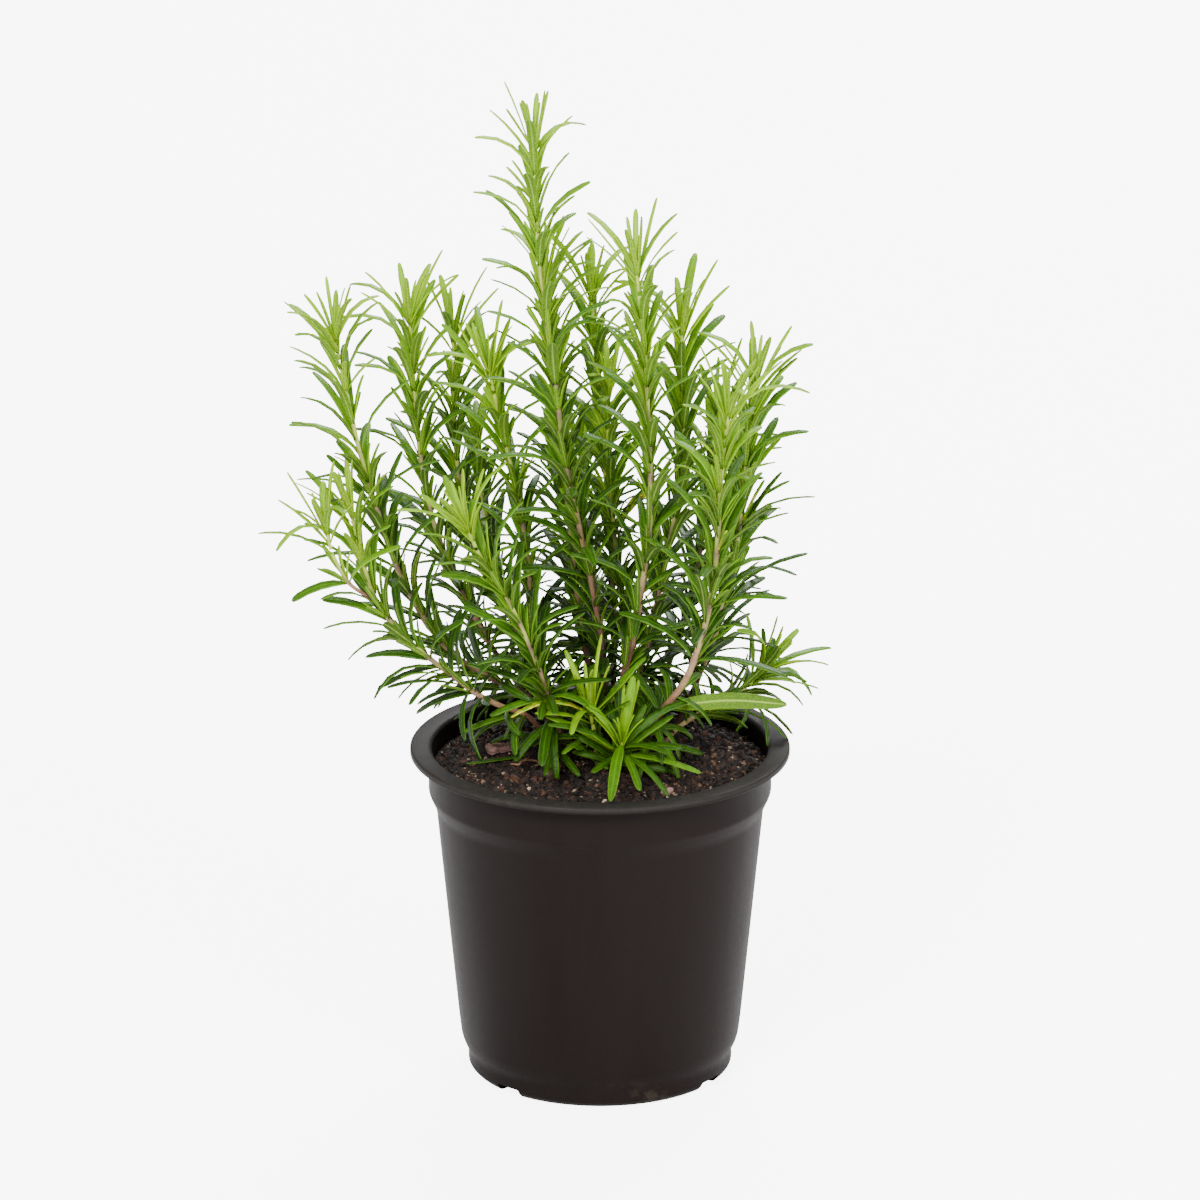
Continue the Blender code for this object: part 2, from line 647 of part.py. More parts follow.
def make_fallen_leaf(garden):
    middle = on_compost(*FALLEN_LEAF_PLACE)
    reach = Matrix.Rotation(math.radians(FALLEN_LEAF_HEADING), 3, "Z") @ Vector((FALLEN_LEAF_LENGTH / 2, 0, 0))
    across = reach.cross(Vector((0, 0, 1))).normalized() * FALLEN_LEAF_WIDTH
    under = [middle + reach * k / 4 + across * side for k in range(-4, 5) for side in (-0.5, 0, 0.5)]
    lift = Vector((0, 0, ground(garden, under) + LEAF_THICKNESS / 2 + SEAT_GAP))
    knots = [middle - reach + lift, middle + lift, middle + reach + lift]
    make_leaf("fallen_leaf", garden, knots, across, FALLEN_LEAF_WIDTH, LEAF_THICKNESS, LEAF_GREEN)


def make_chip(name, garden, share, angle, heading, scale):
    """A split flake of bark, thinner at one end."""
    mesh = bmesh.new()
    bmesh.ops.create_cube(mesh, size=1)
    long_edges = [edge for edge in mesh.edges if abs(edge.verts[0].co.x - edge.verts[1].co.x) > 0.5]
    bmesh.ops.subdivide_edges(mesh, edges=long_edges, cuts=2)
    rng = random.Random(name)
    spot = on_compost(share, angle)
    turn = Matrix.Rotation(math.radians(heading), 3, "Z")
    for vert in mesh.verts:
        taper = 1 - 0.5 * (vert.co.x + 0.5) * rng.uniform(0.5, 1.0)
        local = [vert.co.x, vert.co.y * taper, vert.co.z * taper]
        vert.co = turn @ Vector([value * size * scale for value, size in zip(local, CHIP_SIZE)]) + spot
    low = min(vert.co.z for vert in mesh.verts)
    reach = CHIP_SIZE[0] * scale / 2
    around = [spot + Vector((dx * reach, dy * reach, 0)) for dx in (-1, 0, 1) for dy in (-1, 0, 1)]
    bmesh.ops.translate(mesh, verts=mesh.verts, vec=(0, 0, ground(garden, around) + SEAT_GAP - low))
    bmesh.ops.recalc_face_normals(mesh, faces=mesh.faces)
    garden.stand(name, mesh)
    paint(as_object(name, mesh), BARK_PINK, 0.8)


def make_fibre(garden):
    """A dry rootlet in an open loop, lying on the compost."""
    spot = on_compost(*FIBRE_PLACE)
    steps = (-1.6 * FIBRE_LOOP, 0, 1.6 * FIBRE_LOOP)
    around = [spot + Vector((dx, dy, 0)) for dx in steps for dy in steps]
    lift = ground(garden, around) + FIBRE_RADIUS + SEAT_GAP
    knots = []
    for step in range(6):
        turn = math.radians(-60 + step * 52)
        knots.append(spot + Vector((math.cos(turn), math.sin(turn), 0)) * FIBRE_LOOP + Vector((0, 0, lift)))
    knots.append(knots[-1] + Vector((-FIBRE_LOOP, FIBRE_LOOP * 0.2, 0)))
    make_leaf("root_fibre", garden, knots, Vector((0, 0, 1)), FIBRE_RADIUS * 2, FIBRE_RADIUS * 2, DRY_BROWN)


# The rest


def as_object(name, mesh):
    data = bpy.data.meshes.new(name)
    mesh.to_mesh(data)
    mesh.free()
    solid = bpy.data.objects.new(name, data)
    bpy.context.scene.collection.objects.link(solid)
    return solid


def shade_round(solid, angle):
    solid.data.shade_smooth()
    solid.data.set_sharp_from_angle(angle=math.radians(angle))


def paint(solid, colour, roughness):
    material = bpy.data.materials.new(solid.name)
    material.use_nodes = True
    shader = material.node_tree.nodes["Principled BSDF"]
    shader.inputs["Base Color"].default_value = (*colour, 1)
    shader.inputs["Roughness"].default_value = roughness
    shader.inputs["Metallic"].default_value = 0
    solid.data.materials.append(material)


def main():
    for old in list(bpy.data.objects):
        bpy.data.objects.remove(old)
    garden = Garden()
    seats = [(route[0][0] * MM, route[0][1] * MM, base * MM) for route, base, *_ in SHOOTS.values()]
    for body in (make_pot(), make_soil(seats)):
        bpy.context.view_layer.update()
        mesh = bmesh.new()
        mesh.from_object(body, bpy.context.evaluated_depsgraph_get())
        garden.stand(body.name, mesh)
        mesh.free()
    plans, routes = plan_shoots()
    make_broad_leaf(garden, routes)
    make_hanging_leaf(garden, routes)
    make_fallen_leaf(garden)
    for name, place in CHIPS.items():
        make_chip(name, garden, *place)
    make_fibre(garden)
    make_shoots(garden, plans)
    print("leaves left out for want of room:", garden.missed)


main()
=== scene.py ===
import math
import random

import bmesh
import bpy
import numpy as np
from mathutils import Matrix, Vector, noise
from mathutils.bvhtree import BVHTree


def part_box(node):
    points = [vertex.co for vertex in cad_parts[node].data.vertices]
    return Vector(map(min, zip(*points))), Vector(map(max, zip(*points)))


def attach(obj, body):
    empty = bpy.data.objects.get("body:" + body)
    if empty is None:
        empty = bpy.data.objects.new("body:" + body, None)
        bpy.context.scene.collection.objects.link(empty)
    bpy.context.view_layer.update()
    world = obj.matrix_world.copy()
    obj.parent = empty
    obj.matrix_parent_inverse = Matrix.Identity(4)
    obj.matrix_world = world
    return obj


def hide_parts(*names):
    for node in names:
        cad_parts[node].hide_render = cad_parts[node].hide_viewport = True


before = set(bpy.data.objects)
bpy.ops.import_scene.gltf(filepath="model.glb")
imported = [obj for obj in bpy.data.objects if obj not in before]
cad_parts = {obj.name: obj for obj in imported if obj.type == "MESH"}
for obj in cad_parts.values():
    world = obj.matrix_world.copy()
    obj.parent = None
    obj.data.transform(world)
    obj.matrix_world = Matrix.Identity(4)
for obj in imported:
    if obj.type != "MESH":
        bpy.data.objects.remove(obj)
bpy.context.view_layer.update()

# A rosemary in a nursery pot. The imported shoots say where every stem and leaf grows. Each gets its real
# shape here, with the small leaves in the leaf joints, and the pot and the compost get their fine surface.

mm = 0.001
potBox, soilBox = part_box("pot"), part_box("soil")
shootNames = sorted(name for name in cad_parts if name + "_tip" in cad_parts)


def report(stage):
    print("stage:", stage)


def sway(most, rng):
    return rng.uniform(-most, most)


# Camera, floor and light

studio = {
    "target": (0.0, 0.0, 0.1812),
    "distance": 4.5,
    "elevation": 18.9,
    "lens": 368.0,
    "sensor": 36.0,
    "clipEnd": 50.0,
    "floorSize": 16.0,
    "floorColour": (0.93, 0.93, 0.925, 1),
    "floorRoughness": 0.9,
    "floorGlow": 6.0,  # seen by the camera only
    "skyStrength": 0.55,
    "lamps": [  # name, place, aimed at, size, power
        ("keyLamp", (-0.9, -2.2, 2.1), (0, 0, 0.15), 1.1, 120),
        ("fillLamp", (1.5, -1.9, 1.4), (0, 0, 0.15), 0.9, 58),
        ("backLamp", (0.4, 1.9, 2.1), (0, 0, 0.2), 1.6, 110),
    ],
}


def makeStudio():
    scene = bpy.context.scene
    tilt = math.radians(studio["elevation"])
    target = Vector(studio["target"])
    camera = bpy.data.objects.new("camera", bpy.data.cameras.new("camera"))
    camera.data.lens = studio["lens"]
    camera.data.sensor_width = studio["sensor"]
    camera.data.clip_end = studio["clipEnd"]
    camera.location = target + studio["distance"] * Vector((0, -math.cos(tilt), math.sin(tilt)))
    camera.rotation_euler = (math.pi / 2 - tilt, 0, 0)
    scene.collection.objects.link(camera)
    scene.camera = camera
    for name, place, aim, size, power in studio["lamps"]:
        lamp = bpy.data.objects.new(name, bpy.data.lights.new(name, "AREA"))
        lamp.data.size = size
        lamp.data.energy = power
        lamp.location = place
        lamp.rotation_euler = (Vector(aim) - Vector(place)).to_track_quat("-Z", "Y").to_euler()
        scene.collection.objects.link(lamp)
    world = bpy.data.worlds.new("studioSky")
    world.use_nodes = True
    sky = world.node_tree.nodes["Background"]
    sky.inputs["Color"].default_value = (1, 1, 1, 1)
    sky.inputs["Strength"].default_value = studio["skyStrength"]
    scene.world = world
    sheet = bmesh.new()
    bmesh.ops.create_grid(sheet, x_segments=1, y_segments=1, size=studio["floorSize"] / 2)
    floor = toObject("floor", sheet)
    paper, tree, shader = blank("floorPaper")
    shader.inputs["Base Color"].default_value = studio["floorColour"]
    shader.inputs["Roughness"].default_value = studio["floorRoughness"]
    shader.inputs["Emission Color"].default_value = (1, 1, 1, 1)
    seen = put(tree, "ShaderNodeLightPath").outputs["Is Camera Ray"]
    wire(tree, sums(tree, "MULTIPLY", seen, studio["floorGlow"]), shader.inputs["Emission Strength"])
    floor.data.materials.append(paper)


def toObject(name, mesh):
    data = bpy.data.meshes.new(name)
    mesh.to_mesh(data)
    mesh.free()
    piece = bpy.data.objects.new(name, data)
    bpy.context.scene.collection.objects.link(piece)
    return piece


def settle(piece, skins, slotName, *nodes):
    for skin in skins:
        piece.data.materials.append(skin)
    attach(piece, "root")
    if nodes:
        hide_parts(*nodes)


# Materials


def blank(name):
    material = bpy.data.materials.new(name)
    material.use_nodes = True
    tree = material.node_tree
    return material, tree, tree.nodes["Principled BSDF"]


def put(tree, kind, **settings):
    # a new node; each setting is a property of it or, by its name with underscores, an input
    node = tree.nodes.new(kind)
    for key, value in settings.items():
        if hasattr(node, key):
            setattr(node, key, value)
        else:
            feed(tree, node.inputs[key.replace("_", " ")], value)
    return node


def wire(tree, source, socket):
    tree.links.new(source, socket)


def attribute(tree, name):
    return put(tree, "ShaderNodeAttribute", attribute_name=name).outputs["Fac"]


def ramp(tree, value, stops):
    node = put(tree, "ShaderNodeValToRGB")
    points = node.color_ramp.elements
    while len(points) < len(stops):
        points.new(0.5)
    for point, (place, colour) in zip(points, stops):
        point.position = place
        point.color = (*colour, 1)
    wire(tree, value, node.inputs["Fac"])
    return node.outputs["Color"]


def feed(tree, socket, value):
    # a link where the value is another node's socket, a constant where it is a number or a colour
    if isinstance(value, bpy.types.NodeSocket):
        wire(tree, value, socket)
    elif socket.type == "RGBA":
        socket.default_value = (*value, 1)
    else:
        socket.default_value = value


def blend(tree, share, low, high):
    node = tree.nodes.new("ShaderNodeMix")
    node.data_type = "RGBA"
    for socket, value in ((node.inputs["Factor"], share), (node.inputs[6], low), (node.inputs[7], high)):
        feed(tree, socket, value)
    return node.outputs[2]


def sums(tree, kind, first, second=0.0, clamp=False):
    node = tree.nodes.new("ShaderNodeMath")
    node.operation = kind
    node.use_clamp = clamp
    for socket, value in zip(node.inputs, (first, second)):
        feed(tree, socket, value)
    return node.outputs["Value"]


def shifted(tree, value, pattern, amount, clamp=False):
    # the value moved up or down by a pattern that runs from 0 to 1
    middle = sums(tree, "SUBTRACT", pattern, 0.5)
    return sums(tree, "ADD", value, sums(tree, "MULTIPLY", middle, amount), clamp)


def fit(tree, value, low, high, toLow=0.0, toHigh=1.0):
    node = put(tree, "ShaderNodeMapRange", From_Min=low, From_Max=high, To_Min=toLow, To_Max=toHigh)
    wire(tree, value, node.inputs["Value"])
    return node.outputs["Result"]


def objectPlace(tree):
    return put(tree, "ShaderNodeTexCoord").outputs["Object"]


grainShape = {
    "scales": {"Coarse": 120.0, "Fine": 900.0, "Balance": 0.5},
    "details": (3.0, 4.0),
    "mask": (0.35, 0.65),
}


def squeezed(tree, place, scale):
    node = put(tree, "ShaderNodeMapping", Vector=place)
    node.inputs["Scale"].default_value = scale
    return node.outputs["Vector"]


def makeGrainGroup():
    # two sizes of noise, mixed, as a height and as a mask with more contrast
    group = bpy.data.node_groups.new("naturalGrain", "ShaderNodeTree")
    face = group.interface
    face.new_socket("Vector", in_out="INPUT", socket_type="NodeSocketVector")
    for name, value in grainShape["scales"].items():
        face.new_socket(name, in_out="INPUT", socket_type="NodeSocketFloat").default_value = value
    for name in ("Mask", "Height"):
        face.new_socket(name, in_out="OUTPUT", socket_type="NodeSocketFloat")
    source = group.nodes.new("NodeGroupInput").outputs
    result = group.nodes.new("NodeGroupOutput").inputs
    mixed = put(group, "ShaderNodeMix")
    wire(group, source["Balance"], mixed.inputs[0])
    for name, detail, socket in zip(("Coarse", "Fine"), grainShape["details"], mixed.inputs[2:4]):
        cloud = put(group, "ShaderNodeTexNoise", Vector=source["Vector"], Scale=source[name], Detail=detail)
        wire(group, cloud.outputs[0], socket)
    wire(group, mixed.outputs[0], result["Height"])
    low, high = grainShape["mask"]
    wire(group, fit(group, mixed.outputs[0], low, high), result["Mask"])


def grain(tree, vector, coarse, fine, balance):
    node = tree.nodes.new("ShaderNodeGroup")
    node.node_tree = bpy.data.node_groups["naturalGrain"]
    wire(tree, vector, node.inputs["Vector"])
    node.inputs["Coarse"].default_value = coarse
    node.inputs["Fine"].default_value = fine
    node.inputs["Balance"].default_value = balance
    return node.outputs["Mask"], node.outputs["Height"]


def finish(tree, shader, colour, rough, height, distance, strength):
    wire(tree, colour, shader.inputs["Base Color"])
    wire(tree, rough, shader.inputs["Roughness"])
    raised = put(tree, "ShaderNodeBump", Strength=strength, Distance=distance, Height=height)
    wire(tree, raised.outputs["Normal"], shader.inputs["Normal"])


leafLook = {
    "top": [  # by age, from the oldest leaves to the youngest
        (0.00, (0.010, 0.034, 0.001)),
        (0.28, (0.022, 0.078, 0.002)),
        (0.55, (0.065, 0.185, 0.002)),
        (0.80, (0.155, 0.335, 0.001)),
        (1.00, (0.275, 0.480, 0.001)),
    ],
    "under": [
        (0.00, (0.040, 0.080, 0.012)),
        (0.45, (0.100, 0.200, 0.014)),
        (0.75, (0.175, 0.350, 0.006)),
        (1.00, (0.310, 0.510, 0.006)),
    ],
    "pits": (0.030, 0.070, 0.008),
    "midrib": (0.360, 0.520, 0.080),
    # by age, the lighter tint of the painted highlight along the groove and the edges of the top
    "highlightTint": [
        (0.00, (0.050, 0.120, 0.008)),
        (0.50, (0.170, 0.330, 0.010)),
        (1.00, (0.400, 0.620, 0.008)),
    ],
    "scald": (0.620, 0.520, 0.030),
    "grain": (420.0, 2600.0, 0.45),  # coarse and fine scale, and their balance
    "patchy": 0.12,  # how far the grain shifts the age
    "footYounger": 0.10,  # beside the point
    "grooveHighlight": (0.22, 0.50),  # the painted highlight along the groove: half its width, and its strength
    "rim": (0.68, 0.85),  # where the painted highlight along the edges of the top starts, and its strength
    "pebbles": 1500.0,
    "seam": (0.25, 0.75),  # between pebbles, from their middles
    "pitShares": (0.22, 0.50),  # by the grain and by the seams
    "ridge": (0.05, 0.18, 0.75),  # the midrib's half width, where it has faded out, and its strength
    "scaldChance": (0.992, 0.996),
    "scaldGrain": (0.45, 0.75),
    "roughness": (0.72, 0.34),  # underside and top
    "ribs": (150.0, 0.10),  # pitch and height
    "seamDepth": (0.9, 0.3),  # underside and top
    "relief": (0.22 * mm, 0.8),
    "soft": (0.12, (0.5, 1.0, 0.2), 1.5 * mm),  # subsurface weight, radius and scale
    "gloss": 0.20,
}


def makeLeafMaterial():
    look = leafLook
    material, tree, shader = blank("rosemaryLeaf")
    place = objectPlace(tree)
    age, side = attribute(tree, "age"), attribute(tree, "side")
    across, along, chance = attribute(tree, "across"), attribute(tree, "along"), attribute(tree, "chance")
    mask, height = grain(tree, place, *look["grain"])
    aged = shifted(tree, shifted(tree, age, mask, look["patchy"]), along, -look["footYounger"], clamp=True)
    highlightTint = ramp(tree, aged, look["highlightTint"])
    middle = sums(tree, "ABSOLUTE", across)
    # painted highlight: the groove and the edges of the top are lightened toward that tint
    (grooveEnd, grooveShare), (rimStart, rimShare) = look["grooveHighlight"], look["rim"]
    grooveHighlight = sums(tree, "MULTIPLY", fit(tree, middle, 0.0, grooveEnd, 1.0, 0.0), grooveShare)
    top = blend(tree, grooveHighlight, ramp(tree, aged, look["top"]), highlightTint)
    top = blend(tree, fit(tree, middle, rimStart, 1.0, 0.0, rimShare), top, highlightTint)
    pebbles = put(tree, "ShaderNodeTexVoronoi", Vector=place, Scale=look["pebbles"])
    seam = fit(tree, pebbles.outputs["Distance"], *look["seam"])
    under = ramp(tree, aged, look["under"])
    for pattern, share in zip((mask, seam), look["pitShares"]):
        under = blend(tree, sums(tree, "MULTIPLY", pattern, share), under, look["pits"])
    ridgeEdge, ridgeEnd, ridgeShare = look["ridge"]
    under = blend(tree, fit(tree, middle, ridgeEdge, ridgeEnd, ridgeShare, 0.0), under, look["midrib"])
    colour = blend(tree, side, under, top)
    burnt = fit(tree, chance, *look["scaldChance"]), fit(tree, mask, *look["scaldGrain"])
    colour = blend(tree, sums(tree, "MULTIPLY", *burnt, clamp=True), colour, look["scald"])
    pitch, rise = look["ribs"]
    ribs = sums(tree, "SINE", sums(tree, "MULTIPLY", along, pitch))
    relief = sums(tree, "ADD", height, sums(tree, "MULTIPLY", ribs, rise))
    sunk = sums(tree, "MULTIPLY", seam, fit(tree, side, 0.0, 1.0, *look["seamDepth"]))
    rough = fit(tree, side, 0.0, 1.0, *look["roughness"])
    finish(tree, shader, colour, rough, sums(tree, "SUBTRACT", relief, sunk), *look["relief"])
    for name, value in zip(("Weight", "Radius", "Scale"), look["soft"]):
        shader.inputs["Subsurface " + name].default_value = value
    shader.inputs["Specular IOR Level"].default_value = look["gloss"]
    return material


stemLook = {
    "colours": [  # from the foot of a shoot to its soft end
        (0.00, (0.030, 0.016, 0.010)),
        (0.10, (0.100, 0.045, 0.026)),
        (0.24, (0.240, 0.105, 0.060)),
        (0.38, (0.430, 0.300, 0.130)),
        (0.56, (0.480, 0.520, 0.120)),
        (1.00, (0.500, 0.640, 0.050)),
    ],
    "grain": (260.0, 1800.0, 0.5),
    "patchy": 0.16,
    "blush": (0.190, 0.080, 0.090),  # round the joints, where the stem is half ripe
    "blushRise": (0.25, 0.50, 0.2, 0.85),
    "blushFall": (0.62, 0.80, 1.0, 0.0),
    "bark": (0.05, 0.03, 0.02),
    "barkShare": (0.0, 0.6, 0.35, 0.06),
    "roughness": (0.85, 0.48),  # foot and soft end
    "relief": (0.4 * mm, 0.8),
}


def makeStemMaterial():
    look = stemLook
    material, tree, shader = blank("rosemaryStem")
    ripe, joint = attribute(tree, "ripe"), attribute(tree, "joint")
    mask, height = grain(tree, objectPlace(tree), *look["grain"])
    colour = ramp(tree, shifted(tree, ripe, mask, look["patchy"], clamp=True), look["colours"])
    blush = sums(tree, "MULTIPLY", joint, fit(tree, ripe, *look["blushRise"]))
    blush = sums(tree, "MULTIPLY", blush, fit(tree, ripe, *look["blushFall"]))
    colour = blend(tree, blush, colour, look["blush"])
    bark = sums(tree, "MULTIPLY", mask, fit(tree, ripe, *look["barkShare"]))
    colour = blend(tree, bark, colour, look["bark"])
    finish(tree, shader, colour, fit(tree, ripe, 0.0, 1.0, *look["roughness"]), height, *look["relief"])
    return material


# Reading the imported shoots

reading = {
    "weld": 2e-6,
    "pointed": 0.85,  # how nearly alike the four edges run that meet at a leaf's point
    "jointGap": 3.0 * mm,  # rings closer than this are one leaf joint
    "jointSwell": 1.12,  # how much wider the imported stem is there
}


def packedMesh(name):
    source = bmesh.new()
    source.from_mesh(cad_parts[name].data)
    bmesh.ops.remove_doubles(source, verts=source.verts, dist=reading["weld"])
    source.verts.index_update()
    return source


def inOrder(corners):
    # as a list that is the same in every run, which a set of corners isn't
    return sorted(corners, key=lambda vert: vert.index)


def middleOf(verts):
    return sum((vert.co for vert in verts), Vector()) / len(verts)


def flatWay(verts, forward):
    # the direction in which a ring of corners is widest, square to forward, and that width
    spots = np.array([vert.co for vert in verts])
    spots = spots - spots.mean(axis=0)
    ahead = np.array(forward.normalized())
    spots = spots - np.outer(spots @ ahead, ahead)
    widest = np.linalg.svd(spots)[2][0]
    return Vector(widest), float(np.ptp(spots @ widest))


def leafPoints(source):
    # each leaf's point, the four corners of its waist and the four of its foot
    found = []
    for vert in source.verts:
        beside = [edge.other_vert(vert) for edge in vert.link_edges]
        arms = [(other.co - vert.co).normalized() for other in beside]
        mean = sum(arms, Vector()).normalized()
        if len(arms) == 4 and all(mean.dot(arm) > reading["pointed"] for arm in arms):
            feet = {edge.other_vert(corner) for corner in beside for edge in corner.link_edges}
            found.append((vert, beside, inOrder(feet - set(beside) - {vert})))
    return found


def stemRings(source, leaves):
    # the stem's rings of four corners from its foot to its end, and the ring number of each corner
    off = {vert for tip, waist, _ in leaves for vert in (tip, *waist)}
    stem = [vert for vert in source.verts if vert not in off]
    way = Vector((0, 0, 1))
    if leaves:
        way = middleOf([tip for tip, _, _ in leaves])
        way = way - middleOf([vert for _, _, feet in leaves for vert in feet])
    ring = sorted(stem, key=lambda vert: vert.co.dot(way))[:4]
    rings, number = [], {}
    while ring:
        number.update({vert: len(rings) for vert in ring})
        rings.append(ring)
        ahead = {edge.other_vert(vert) for vert in ring for edge in vert.link_edges}
        ring = [vert for vert in inOrder(ahead) if vert not in number and vert not in off]
    return rings, number


def readShoot(name):
    # a shoot's stem as (centre, radius, has leaves), and its leaves as dictionaries
    source = packedMesh(name)
    found = leafPoints(source)
    rings, number = stemRings(source, found)
    centres = [middleOf(ring) for ring in rings]
    radii = [(ring[0].co - centre).length for ring, centre in zip(rings, centres)]
    knots, place = [], 0
    while place < len(rings):
        if place + 1 < len(rings) and (centres[place + 1] - centres[place]).length < reading["jointGap"]:
            middle = centres[place].lerp(centres[place + 1], 0.5)
            knots.append((middle, radii[place] / reading["jointSwell"], True))
            place += 2
        else:
            knots.append((centres[place], radii[place], False))
            place += 1
    leaves = []
    for tip, waist, feet in found:
        order = sorted(feet, key=lambda vert: number[vert])
        across, width = flatWay(waist, tip.co - middleOf(waist))
        leaves.append({
            "foot": middleOf(feet), "waist": middleOf(waist), "tip": tip.co.copy(), "across": across,
            "width": width, "along": (middleOf(order[2:]) - middleOf(order[:2])).normalized(),
        })
    leaves.sort(key=lambda leaf: (round(leaf["foot"].z, 4), leaf["tip"].x))
    source.free()
    return knots, leaves


def readRings(name):
    # the rings of a single leaf or thread, from its foot to its point
    source = packedMesh(name)
    tips = [
        vert for vert in source.verts
        if len(vert.link_edges) == 4 and all(len(face.verts) == 3 for face in vert.link_faces)
    ]
    point = max(tips, key=lambda vert: min(edge.calc_length() for edge in vert.link_edges))
    seen, ring, rings = {point}, [point], []
    while ring:
        rings.append(ring)
        ahead = {edge.other_vert(vert) for vert in ring for edge in vert.link_edges}
        ring = [vert for vert in inOrder(ahead) if vert not in seen]
        seen.update(ring)
    places = [(middleOf(ring), ring) for ring in rings[::-1]]
    spine = []
    for place, (centre, ring) in enumerate(places[:-1]):
        forward = places[place + 1][0] - centre
        spine.append((centre, *flatWay(ring, forward)))
    spine.append((point.co.copy(), spine[-1][1], 0.0))
    source.free()
    return spine


# Leaves

leafShape = {
    "section": [  # across and up, from the left edge over the grooved top and back under the rolled margins
        (-1.00, -0.28), (-0.60, 0.38), (0.00, 0.04), (0.60, 0.38), (1.00, -0.28),
        (0.72, -0.62), (0.00, -0.32), (-0.72, -0.62),
    ],
    "topCorners": 5,
    "stations": [  # share of the length, share of the width
        (0.00, 0.42), (0.08, 0.62), (0.24, 0.90), (0.46, 1.00), (0.70, 0.98), (0.89, 0.84), (0.975, 0.52),
    ],
    "thickness": 1.05 * mm,
    "longer": 1.25,  # beyond the waist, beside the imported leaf
    "arch": 0.10,  # how far a leaf keeps to its stem's way before it turns out, by its length
    "waist": 0.42,  # its share of the way from foot to point
    "twistFrom": 0.1,
    "wave": (0.05, 9.0, 40.0),  # of the width: height, pitch and how far one leaf's differs from the next
    "flattening": 0.6,  # of the thickness where the width narrows
    "pointHeight": -0.05,
}
layerNames = ("ripe", "joint", "age", "chance", "side", "across", "along")


def makeLeafTemplate(name, shape):
    # one straight leaf: x across from -1 to 1, y along from 0 to 1, z from -0.6 to 0.4 of its thickness
    leaf, section, stations = bmesh.new(), shape["section"], shape["stations"]
    layers = {key: leaf.verts.layers.float.new(key) for key in layerNames}
    bmesh.ops.create_circle(leaf, cap_ends=True, segments=len(section), radius=1)
    leaf.verts.ensure_lookup_table()
    wide = stations[0][1]
    for place, (vert, (x, z)) in enumerate(zip(leaf.verts, section)):
        vert[layers["side"]] = float(place < shape["topCorners"])
        vert[layers["across"]] = x
        vert.co = (x * wide, 0, z * wide)
    end = list(leaf.faces)
    for (_, before), (station, wide) in zip(stations, stations[1:]):
        end = bmesh.ops.extrude_discrete_faces(leaf, faces=end)["faces"]
        ring = list(end[0].verts)
        bmesh.ops.scale(leaf, vec=(wide / before, 1, (wide / before) ** leafShape["flattening"]), verts=ring)
        bmesh.ops.translate(leaf, vec=(0, station - ring[0].co.y, 0), verts=ring)
        for vert in ring:
            vert[layers["along"]] = station
    last = bmesh.ops.extrude_discrete_faces(leaf, faces=end)["faces"][0]
    for vert in last.verts:
        vert[layers["along"]], vert[layers["across"]] = 1.0, 0.0
    bmesh.ops.pointmerge(leaf, verts=last.verts, merge_co=(0, 1, leafShape["pointHeight"]))
    bmesh.ops.holes_fill(leaf, edges=leaf.edges, sides=len(section))
    bmesh.ops.recalc_face_normals(leaf, faces=leaf.faces)
    for face in leaf.faces:
        face.smooth = True
        face.material_index = 1
    template = bpy.data.meshes.new(name)
    leaf.to_mesh(template)
    leaf.free()
    return template


def controlPoint(foot, waist, tip, share):
    # of the parabola from foot to tip that passes its waist at this share of the way
    return (waist - foot * (1 - share) ** 2 - tip * share**2) / (2 * share * (1 - share))


def bendLeaves(leaves, template):
    # where every corner of these leaves lies: the template bent along each one's own curve
    flat = np.array([vert.co for vert in template.vertices])
    x, s, z = flat.T[:, None, :]
    foot, waist, tip, across, along = (
        np.array([leaf[key] for leaf in leaves], float)[:, None, :]
        for key in ("foot", "waist", "tip", "across", "along")
    )
    width, thick, chance, twist = (
        np.array([leaf[key] for leaf in leaves], float)[:, None]
        for key in ("width", "thick", "chance", "twist")
    )
    control = controlPoint(foot, waist, tip, leafShape["waist"])
    control = control + along * np.linalg.norm(tip - foot, axis=2, keepdims=True) * leafShape["arch"]
    t = s[..., None]
    spine = (1 - t) ** 2 * foot + 2 * t * (1 - t) * control + t**2 * tip
    forward = 2 * (1 - t) * (control - foot) + 2 * t * (tip - control)
    forward = forward / np.linalg.norm(forward, axis=2, keepdims=True)
    side = across - forward * (across * forward).sum(2, keepdims=True)
    side = side / np.linalg.norm(side, axis=2, keepdims=True)
    up = np.cross(side, forward)
    facing = np.sign((up[:, :1] * along).sum(2, keepdims=True))
    up, side = up * facing, side * facing
    turn = (twist * (s - leafShape["twistFrom"]))[..., None]
    turned = side * np.cos(turn) + up * np.sin(turn)
    risen = up * np.cos(turn) - side * np.sin(turn)
    rise, pitch, spread = leafShape["wave"]
    wavy = 1 + rise * np.sin(s * pitch + chance * spread)
    return spine + turned * (x * width / 2 * wavy)[..., None] + risen * (z * thick)[..., None]


